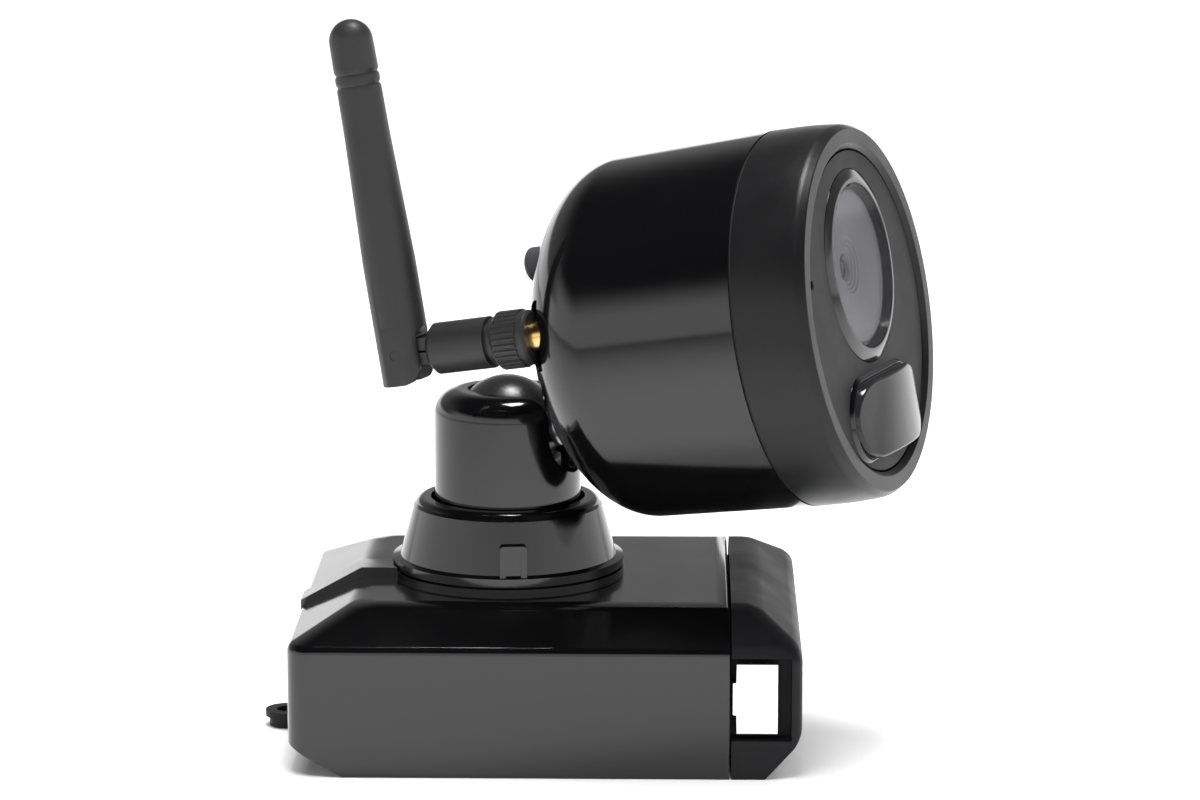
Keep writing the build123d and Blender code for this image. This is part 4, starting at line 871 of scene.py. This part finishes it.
# ---------------------------------------------------------------- post and collar
@dataclass
class PanPost:
    """The post with the ball's socket, and the ball; the lock collar round its foot is made apart."""

    radius: float = 15.44
    top: float = 72.0
    shoulder: float = 5.2
    foot_radius: float = 18.0
    foot_bottom: float = 37.05
    foot_height: float = 3.0
    spindle_radius: float = 10.0
    spindle_bottom: float = 28.2
    cable_radius: float = 3.6
    ball_radius: float = 11.25
    ball_height: float = 63.6
    mouth_radius: float = 8.4
    cavity_bottom: float = 43.95
    socket_gap: float = 0.05
    slot_top: float = 80.0
    ball_flat: float = 0.9
    ball_cut: float = 4.5
    ball_reach: float = 85.4
    pin_radius: float = 3.65
    pin_depth: float = 5.0
    post_edge: float = 0.35
    ball_edge: float = 0.2

    def post(self) -> Piece:
        """Turn the post and open the ball's socket, mouth and slot.

        Returns:
            The post.
        """
        foot_top = self.foot_bottom + self.foot_height
        profile = [(self.spindle_radius, self.spindle_bottom), (self.spindle_radius, self.foot_bottom),
                   (self.foot_radius, self.foot_bottom), (self.foot_radius, foot_top),
                   (self.radius, foot_top)]
        profile += arc((self.radius - self.shoulder, self.top - self.shoulder), self.shoulder, 0, 90, 14)
        form = turned("pan_post_skin", profile, Ends.CAPPED)
        socket = self.ball_radius + self.socket_gap
        hollow = [(self.cable_radius, self.spindle_bottom - OVERCUT), (self.cable_radius, self.cavity_bottom),
                  (socket, self.cavity_bottom), *arc((0, self.ball_height), socket, 0, 86, 22)]
        combined(form, turned("cavity", hollow, Ends.CAPPED, 128), "DIFFERENCE")
        mouth = turned("mouth", [(self.mouth_radius, self.ball_height), (self.mouth_radius, self.top + 2.0)],
                       Ends.CAPPED, 96)
        combined(form, mouth, "DIFFERENCE")
        heading = HeadFrame().forward
        yaw = math.atan2(heading.y, heading.x)
        slot = block("slot", (0.0, -self.mouth_radius, self.ball_height),
                     (2 * self.radius, self.mouth_radius, self.slot_top))
        placed(slot, Matrix.Rotation(yaw, 4, "Z"))
        combined(form, slot, "DIFFERENCE")
        side = turned("side_mouth", [(self.mouth_radius, 0.0), (self.mouth_radius, 2 * self.radius)],
                      Ends.CAPPED, 96)
        lay = Matrix.Rotation(yaw, 4, "Z") @ Matrix.Rotation(math.pi / 2, 4, "Y")
        placed(side, Matrix.Translation((0, 0, self.ball_height * MM)) @ lay)
        combined(form, side, "DIFFERENCE")
        softened(form, self.post_edge)
        return form

    def ball(self) -> Piece:
        """Turn the ball, with the bore for the stem's pin.

        Returns:
            The ball.
        """
        bottom = (self.ball_flat, -self.ball_radius * math.cos(math.radians(self.ball_cut)))
        round_side = arc((0, 0), self.ball_radius, -self.ball_reach, self.ball_reach, 60)
        form = turned("ball_skin", [bottom, *round_side], Ends.CAPPED, 128)
        placed(form, Matrix.Translation((0, 0, self.ball_height * MM)))
        axis = HeadFrame(reach=0.0, rise=0.0).at(forward=-self.pin_depth)
        bore = turned("pin_bore", [(self.pin_radius, 0.0), (self.pin_radius, 2 * self.ball_radius)],
                      Ends.CAPPED, 64)
        placed(bore, axis)
        combined(form, bore, "DIFFERENCE")
        softened(form, self.ball_edge)
        return form

    def build(self) -> None:
        """Make the post and ball and dress them."""
        dressed(self.post(), "gloss_black", "pan_post", "post")
        dressed(self.ball(), "ball_black", "tilt_ball", "ball")


@dataclass
class LockCollar:
    """The cone-shaped lock collar with its ring and framed finger tab."""

    boss_radius: float = 20.45
    ring_radius: float = 24.4
    ring_bottom: float = 34.6
    ring_top: float = 36.3
    cone_bottom: float = 22.8
    cone_top: float = 19.5
    top: float = 49.0
    wall: float = 2.2
    bore: float = 16.29
    shoulder: float = 1.6
    tab_width: float = 5.6
    tab_rise: float = 6.8
    tab_proud: float = 0.9
    tab_frame: float = 1.2
    tab_angle: float = 5.0
    tab_round: float = 0.8
    ring_crown: float = 0.4
    ring_floor: float = 1.2
    draft: float = 0.42
    roof_chamfer: float = 1.5
    edge: float = 0.28

    def build(self) -> None:
        """Turn the collar, add its tab and dress it."""
        rim = self.top - self.shoulder
        profile = [
            (self.boss_radius, self.ring_bottom), (self.ring_radius, self.ring_bottom),
            (self.ring_radius, self.ring_top), (self.cone_bottom, self.ring_top + self.ring_crown),
            (self.cone_top + self.draft, rim),
            *arc((self.cone_top - self.shoulder, rim), self.shoulder, 15, 90, 8),
            (self.bore, self.top), (self.bore, self.top - self.wall),
            (self.cone_top - self.wall, self.top - self.wall - self.roof_chamfer),
            (self.boss_radius, self.ring_top + self.ring_floor),
        ]
        form = turned("lock_collar_skin", profile, Ends.RING)
        reach = self.cone_bottom + self.tab_proud
        low = self.ring_bottom
        high = self.ring_top + self.tab_rise
        half = self.tab_width / 2
        tab = block("tab", (-half, -reach, low), (half, -reach + self.tab_proud + self.wall, high))
        rounded_edges(tab, lambda a, b: abs(a.y - b.y) > self.wall / 2, self.tab_round, 6)
        hollow = block("tab_hollow", (-half + self.tab_frame, -reach - OVERCUT, low + self.tab_frame),
                       (half - self.tab_frame, -reach + self.tab_proud, high - self.tab_frame))
        combined(tab, hollow, "DIFFERENCE")
        placed(tab, Matrix.Rotation(math.radians(self.tab_angle), 4, "Z"))
        combined(form, tab, "UNION")
        softened(form, self.edge)
        dressed(form, "gloss_black", "collar", "lock_collar")


# ---------------------------------------------------------------- base
@dataclass
class Base:
    """The base housing with its sloped shoulders, cable rib and collar flange."""

    left: float = 43.4
    right: float = 46.6
    depth: float = 92.0
    height: float = 33.2
    skirt: float = 26.7
    slope_run: float = 13.4
    foot_rise: float = 6.4
    foot_run: float = 11.4
    corner: float = 4.5
    top_round: float = 2.6
    edge_round: float = 1.3
    bay_left: float = -35.2
    bay_width: float = 80.0
    bay_bottom: float = 4.0
    bay_height: float = 21.9
    rib_width: float = 8.2
    rib_rise: float = 2.0
    rib_offset: float = -4.9
    flange_radius: float = 24.6
    flange_height: float = 0.9
    boss_radius: float = 20.4
    boss_top: float = 36.2
    spindle_radius: float = 10.05
    chamber: float = 54.0
    roof: float = 31.0
    plate: Triple = (62.6, 52.6, 2.4)
    plate_centre: float = 4.0
    eyelet_radius: float = 4.9
    eyelet_height: float = 3.7
    bush_radius: float = 5.3
    seat_radius: float = 24.7
    seat_top: float = 40.0
    root: float = 0.5
    hip_reach: float = 30.0
    hip_rise: float = 5.0
    rib_lean: float = 0.7
    edge: float = 0.45

    def housing(self) -> Piece:
        """Shape the housing from a block, then add the rib and flange and cut the hollows.

        Returns:
            The housing.
        """
        half = self.depth / 2
        form = block("base_housing_skin", (-self.left, -half, 0), (self.right, half, self.height))
        drop = self.height - self.skirt
        for facing in (-1.0, 1.0):
            sliced(form, (0, facing * half, self.skirt), (0, facing * drop, self.slope_run))
        sliced(form, (-self.left, 0, self.skirt), (-drop, 0, self.slope_run))
        sliced(form, (-self.left, 0, self.foot_rise), (-self.foot_rise, 0, -self.foot_run))
        rounded_edges(form, self._left_corner, self.corner, 12)
        rounded_edges(form, lambda a, b: min(a.z, b.z) > self.height - LEVEL, self.top_round, 8)
        rounded_edges(form, self._skirt_line, self.edge_round, 5)
        combined(form, self._rib(), "UNION")
        top = self.height + self.flange_height
        seat = turned("ring_seat", [(self.seat_radius, top), (self.seat_radius, self.seat_top)],
                      Ends.CAPPED, 128)
        combined(form, seat, "DIFFERENCE")
        flange = turned("flange", [(self.flange_radius, self.roof + self.root), (self.flange_radius, top),
                                   (self.boss_radius, top), (self.boss_radius, self.boss_top)], Ends.CAPPED)
        combined(form, flange, "UNION")
        self._hollow(form)
        softened(form, self.edge)
        return form

    def _skirt_line(self, first: Vector, second: Vector) -> bool:
        """True for the edges between the walls and the shoulders.

        Args:
            first: One end of the edge, in millimetres.
            second: Its other end.

        Returns:
            Whether the edge is rounded.
        """
        return max(abs(first.z - self.skirt), abs(second.z - self.skirt)) < LEVEL

    def _left_corner(self, first: Vector, second: Vector) -> bool:
        """True for the upright edges at the left end, and the hips above them.

        Args:
            first: One end of the edge, in millimetres.
            second: Its other end.

        Returns:
            Whether the edge is rounded.
        """
        outside = min(abs(first.y), abs(second.y)) > self.hip_reach
        tall = abs(first.z - second.z) > self.hip_rise and outside
        return tall and max(first.x, second.x) < 0.0 and min(first.z, second.z) > self.foot_rise - NEAR

    def _rib(self) -> Piece:
        """Shape the raised cable rib over the top and down the left shoulder.

        Returns:
            The rib.
        """
        low = self.rib_offset - self.rib_width / 2
        high = self.rib_offset + self.rib_width / 2
        rib = block("rib", (-self.left, low, self.skirt - self.rib_rise),
                    (0.0, high, self.height + self.rib_rise))
        crest = -self.left + self.slope_run - self.rib_rise / 4
        foot = self.skirt + self.rib_rise * self.rib_lean
        sliced(rib, (-self.left, 0, foot), (foot - self.height - self.rib_rise, 0, crest + self.left))
        return rib

    def _hollow(self, form: Piece) -> None:
        """Cut the battery bay, the chamber, the spindle's bore and the plate's recess.

        Args:
            form: The housing.
        """
        side = self.bay_width / 2
        top = self.bay_bottom + self.bay_height
        half = self.chamber / 2
        wide, deep, thick = self.plate
        middle = self.plate_centre
        cuts = [
            block("bay", (self.bay_left, -side, self.bay_bottom), (self.right + OVERCUT, side, top)),
            block("chamber", (-half, -half, top - OVERCUT), (half, half, self.roof)),
            block("plate_recess", (middle - wide / 2, -deep / 2, -OVERCUT),
                  (middle + wide / 2, deep / 2, thick)),
            block("eyelet_recess", (-self.left - OVERCUT, self.rib_offset - self.eyelet_radius, -OVERCUT),
                  (0, self.rib_offset + self.eyelet_radius, self.eyelet_height)),
            turned("bore", [(self.spindle_radius, top - OVERCUT),
                            (self.spindle_radius, self.boss_top + OVERCUT)], Ends.CAPPED, 96),
            turned("bush_hole", [(self.bush_radius, -OVERCUT), (self.bush_radius, self.bay_bottom + OVERCUT)],
                   Ends.CAPPED, 64),
        ]
        placed(cuts[-1], Matrix.Translation((middle * MM, 0, 0)))
        for tool in cuts:
            combined(form, tool, "DIFFERENCE")

    def build(self) -> None:
        """Make the housing and dress it."""
        dressed(self.housing(), "gloss_black", "base", "base_housing")


@dataclass
class EndCap:
    """The battery pack's end cap with its latch pockets and plug."""

    left: float = 47.0
    length: float = 14.4
    depth: float = 92.0
    height: float = 33.2
    skirt: float = 26.7
    shoulder_run: float = 13.4
    slope_run: float = 9.6
    foot_rise: float = 8.2
    foot_run: float = 7.5
    corner: float = 2.4
    plug: Triple = (79.4, 21.3, 6.4)
    plug_bottom: float = 4.3
    pocket: Triple = (12.2, 17.2, 4.6)
    latch_centre: float = 16.6
    latch_middle: float = 52.2
    guide: float = 4.6
    guide_depth: float = 4.8
    root: float = 0.5
    edge: float = 0.4

    def cap(self) -> Piece:
        """Shape the cap from a block, and cut its pockets.

        Returns:
            The end cap.
        """
        half = self.depth / 2
        right = self.left + self.length
        form = block("end_cap_skin", (self.left, -half, 0), (right, half, self.height))
        drop = self.height - self.skirt
        for facing in (-1.0, 1.0):
            sliced(form, (0, facing * half, self.skirt), (0, facing * drop, self.shoulder_run))
        sliced(form, (right, 0, self.skirt), (drop, 0, self.slope_run))
        sliced(form, (right, 0, self.foot_rise), (self.foot_rise, 0, -self.foot_run))
        rounded_edges(form, self._round_side, self.corner, 8)
        wide, tall, reach = self.plug
        combined(form, block("plug", (self.left - reach, -wide / 2, self.plug_bottom),
                             (self.left + self.root, wide / 2, self.plug_bottom + tall)), "UNION")
        width, high, deep = self.pocket
        centre = self.latch_centre
        guide = self.guide / 2
        for facing in (-1, 1):
            floor = facing * (half - deep)
            sides = sorted((floor, facing * (half + OVERCUT)))
            combined(form, block("pocket", (self.left - LEVEL, sides[0], centre - high / 2),
                                 (self.left + width, sides[1], centre + high / 2)), "DIFFERENCE")
            sides = sorted((floor - facing * self.guide_depth, floor + facing))
            combined(form, block("guide", (self.latch_middle - guide, sides[0], centre - guide),
                                 (self.latch_middle + guide, sides[1], centre + guide)), "DIFFERENCE")
        softened(form, self.edge)
        return form

    def _round_side(self, first: Vector, second: Vector) -> bool:
        """True for the edges above the foot, but for those of the joint with the housing.

        Args:
            first: One end of the edge, in millimetres.
            second: Its other end.

        Returns:
            Whether the edge is rounded.
        """
        away = min(first.x, second.x) > self.left + OVERCUT or abs(first.x - second.x) > OVERCUT
        return away and min(first.z, second.z) > self.foot_rise - NEAR

    def build(self) -> None:
        """Make the cap and dress it."""
        dressed(self.cap(), "satin_charcoal", "battery_pack", "end_cap")


@dataclass
class Latch:
    """A polished latch plate, with rolled lips, its tongue and its guide."""

    facing: int
    body: str
    node: str
    left: float = 47.9
    width: float = 8.6
    height: float = 14.8
    centre: float = 16.6
    face: float = 45.1
    thickness: float = 0.8
    lip: float = 1.5
    tongue: float = 0.8
    tongue_height: float = 7.0
    guide: float = 4.0
    guide_end: float = 38.4
    edge: float = 0.3

    def build(self) -> None:
        """Shape the plate and its lips, and dress the latch."""
        low = self.centre - self.height / 2
        high = self.centre + self.height / 2
        right = self.left + self.width
        form = self._slab("latch", (self.left, self.face - self.lip, low), (right, self.face, high))
        form.name = f"{self.node}_plate"
        edge = self.thickness
        combined(form, self._slab("dish", (self.left - OVERCUT, self.face - self.lip - OVERCUT, low + edge),
                                  (right - edge, self.face - edge, high - edge)), "DIFFERENCE")
        half = self.tongue_height / 2
        combined(form, self._slab("tongue", (self.left - self.tongue, self.face - edge, self.centre - half),
                                  (self.left + OVERCUT, self.face, self.centre + half)), "UNION")
        half = self.guide / 2
        middle = self.left + self.width / 2
        combined(form, self._slab("guide", (middle - half, self.guide_end, self.centre - half),
                                  (middle + half, self.face - edge / 2, self.centre + half)), "UNION")
        softened(form, self.edge, 4)
        dressed(form, "polished_steel", self.body, self.node)

    def _slab(self, name: str, low: Triple, high: Triple) -> Piece:
        """Make a block on the latch's own side of the base.

        Args:
            name: The block's name.
            low: Its lowest corner as if the side were +Y, in millimetres.
            high: Its highest corner.

        Returns:
            The block.
        """
        sides = sorted((self.facing * low[1], self.facing * high[1]))
        return block(name, (low[0], sides[0], low[2]), (high[0], sides[1], high[2]))


# ---------------------------------------------------------------- studio
@dataclass
class Studio:
    """Camera, pale floor and soft light."""

    look: Triple = (0.01947, 0.0, 0.06948)
    distance: float = 0.9017
    azimuth: float = 1.16
    elevation: float = 10.94
    lens: float = 128.5
    floor_size: float = 6.0
    floor_drop: float = 0.00005
    horizon: float = 1.7
    front_fade: Point = (0.22, 0.5)
    front_sky: float = 0.01
    low_fade: Point = (0.13, 0.18)
    back_sky: float = 0.32
    high_fade: Point = (0.35, 0.8)
    zenith: float = 0.03
    turn_fade: Point = (-0.1, 0.35)

    def camera(self) -> None:
        """Add the camera and make it the scene's own."""
        turn = math.radians(self.azimuth)
        lift = math.radians(self.elevation)
        back = Vector((math.sin(turn) * math.cos(lift), -math.cos(turn) * math.cos(lift), math.sin(lift)))
        bpy.ops.object.camera_add(location=Vector(self.look) + back * self.distance)
        camera = bpy.context.active_object
        camera.rotation_mode = "QUATERNION"
        camera.rotation_quaternion = (-back).to_track_quat("-Z", "Y")
        camera.data.lens = self.lens
        camera.data.sensor_width = 36.0
        camera.data.clip_start = 0.01
        bpy.context.scene.camera = camera

    def floor(self) -> None:
        """Add the pale floor."""
        bpy.ops.mesh.primitive_plane_add(size=self.floor_size, location=(0, 0, -self.floor_drop))
        floor = bpy.context.active_object
        floor.name = "studio_floor"
        paint = bpy.data.materials.new("pale_floor")
        paint.use_nodes = True
        shader = paint.node_tree.nodes["Principled BSDF"]
        shader.inputs["Base Color"].default_value = (0.9, 0.9, 0.9, 1.0)
        shader.inputs["Roughness"].default_value = 0.9
        shader.inputs["Specular IOR Level"].default_value = 0.1
        floor.data.materials.append(paint)

    @staticmethod
    def softbox(
        name: str, stand: Triple, aim: Triple, size: float, power: float, mirrored: bool = True
    ) -> None:
        """Add a square soft light.

        Args:
            name: The light's name.
            stand: Where it stands, in metres.
            aim: The point that it faces.
            size: Its side, in metres.
            power: Its power in watts.
            mirrored: Whether glossy surfaces show it.
        """
        bpy.ops.object.light_add(type="AREA", location=stand)
        light = bpy.context.active_object
        light.name = name
        light.rotation_mode = "QUATERNION"
        light.rotation_quaternion = (Vector(aim) - Vector(stand)).to_track_quat("-Z", "Y")
        light.data.size = size
        light.data.energy = power
        light.visible_glossy = mirrored
        light.visible_camera = False

    def surroundings(self) -> None:
        """Light the surroundings: bright near the horizon and dark above, with a faint band behind."""
        world = bpy.data.worlds.new("studio")
        bpy.context.scene.world = world
        world.use_nodes = True
        tree = world.node_tree
        background = tree.nodes["Background"]
        background.inputs["Color"].default_value = (1.0, 1.0, 1.0, 1.0)
        place = tree.nodes.new("ShaderNodeTexCoord")
        split = tree.nodes.new("ShaderNodeSeparateXYZ")
        tree.links.new(place.outputs["Generated"], split.inputs["Vector"])
        front = self._ramp(tree, split.outputs["Z"], self.front_fade, self.horizon, self.front_sky)
        low = self._ramp(tree, split.outputs["Z"], self.low_fade, self.horizon, self.back_sky)
        high = self._ramp(tree, split.outputs["Z"], self.high_fade, 1.0, self.zenith)
        behind = tree.nodes.new("ShaderNodeMath")
        behind.operation = "MULTIPLY"
        tree.links.new(low, behind.inputs[0])
        tree.links.new(high, behind.inputs[1])
        turn = self._ramp(tree, split.outputs["Y"], self.turn_fade, 0.0, 1.0)
        mix = tree.nodes.new("ShaderNodeMix")
        tree.links.new(turn, mix.inputs[0])
        tree.links.new(front, mix.inputs[2])
        tree.links.new(behind.outputs[0], mix.inputs[3])
        tree.links.new(mix.outputs[0], background.inputs["Strength"])

    @staticmethod
    def _ramp(tree: Tree, value: Socket, span: Point, low: float, high: float) -> Socket:
        """Map a socket smoothly from one value to another.

        Args:
            tree: The world's node tree.
            value: The socket to map.
            span: Where the change starts and ends.
            low: Result before the span.
            high: Result after it.

        Returns:
            The mapped socket.
        """
        ramp = tree.nodes.new("ShaderNodeMapRange")
        ramp.interpolation_type = "SMOOTHSTEP"
        ramp.inputs["From Min"].default_value = span[0]
        ramp.inputs["From Max"].default_value = span[1]
        ramp.inputs["To Min"].default_value = low
        ramp.inputs["To Max"].default_value = high
        tree.links.new(value, ramp.inputs["Value"])
        return ramp.outputs["Result"]

    def build(self) -> None:
        """Set up the studio."""
        bpy.context.scene.view_settings.view_transform = "Standard"
        self.camera()
        self.floor()
        self.surroundings()
        self.softbox("key_light", (0.12, 0.12, 1.16), (0.03, 0.05, 0.07), 0.3, 10.0)
        self.softbox("face_light", (0.9, -0.5, 0.6), (0.05, 0.0, 0.08), 0.8, 5.0, mirrored=False)
        self.softbox("near_floor_light", (0.0, -0.17, 0.34), (0.0, -0.17, 0.0), 0.16, 0.95, mirrored=False)
        self.softbox("wide_floor_light", (0.0, 1.1, 2.2), (0.0, 1.1, 0.0), 3.0, 85.0, mirrored=False)


@dataclass
class SecurityCamera:
    """The whole camera, built sub-assembly by sub-assembly."""

    place: HeadFrame = field(default_factory=HeadFrame)

    def dress_nodes(self) -> None:
        """Give each carried-over CAD node the finish that the record names for it."""
        for entry in frame["record"]["subparts"]:
            node = frame["nodes"][entry["node"]]
            node.data.materials.clear()
            node.data.materials.append(FINISHES[entry["material_slot"]].material())

    def build(self) -> None:
        """Build every sub-assembly in order."""
        self.dress_nodes()
        for part in (
            Base(), EndCap(), Latch(-1, "front_latch", "latch_front"), Latch(1, "rear_latch", "latch_rear"),
            LockCollar(), PanPost(), CameraHead(self.place), LensGroup(self.place), Antenna(),
        ):
            part.build()


def main() -> None:
    """Build the studio and the camera."""
    logging.basicConfig(level=logging.INFO, format="%(message)s")
    Studio().build()
    SecurityCamera().build()


if __name__ == "__main__":
    main()
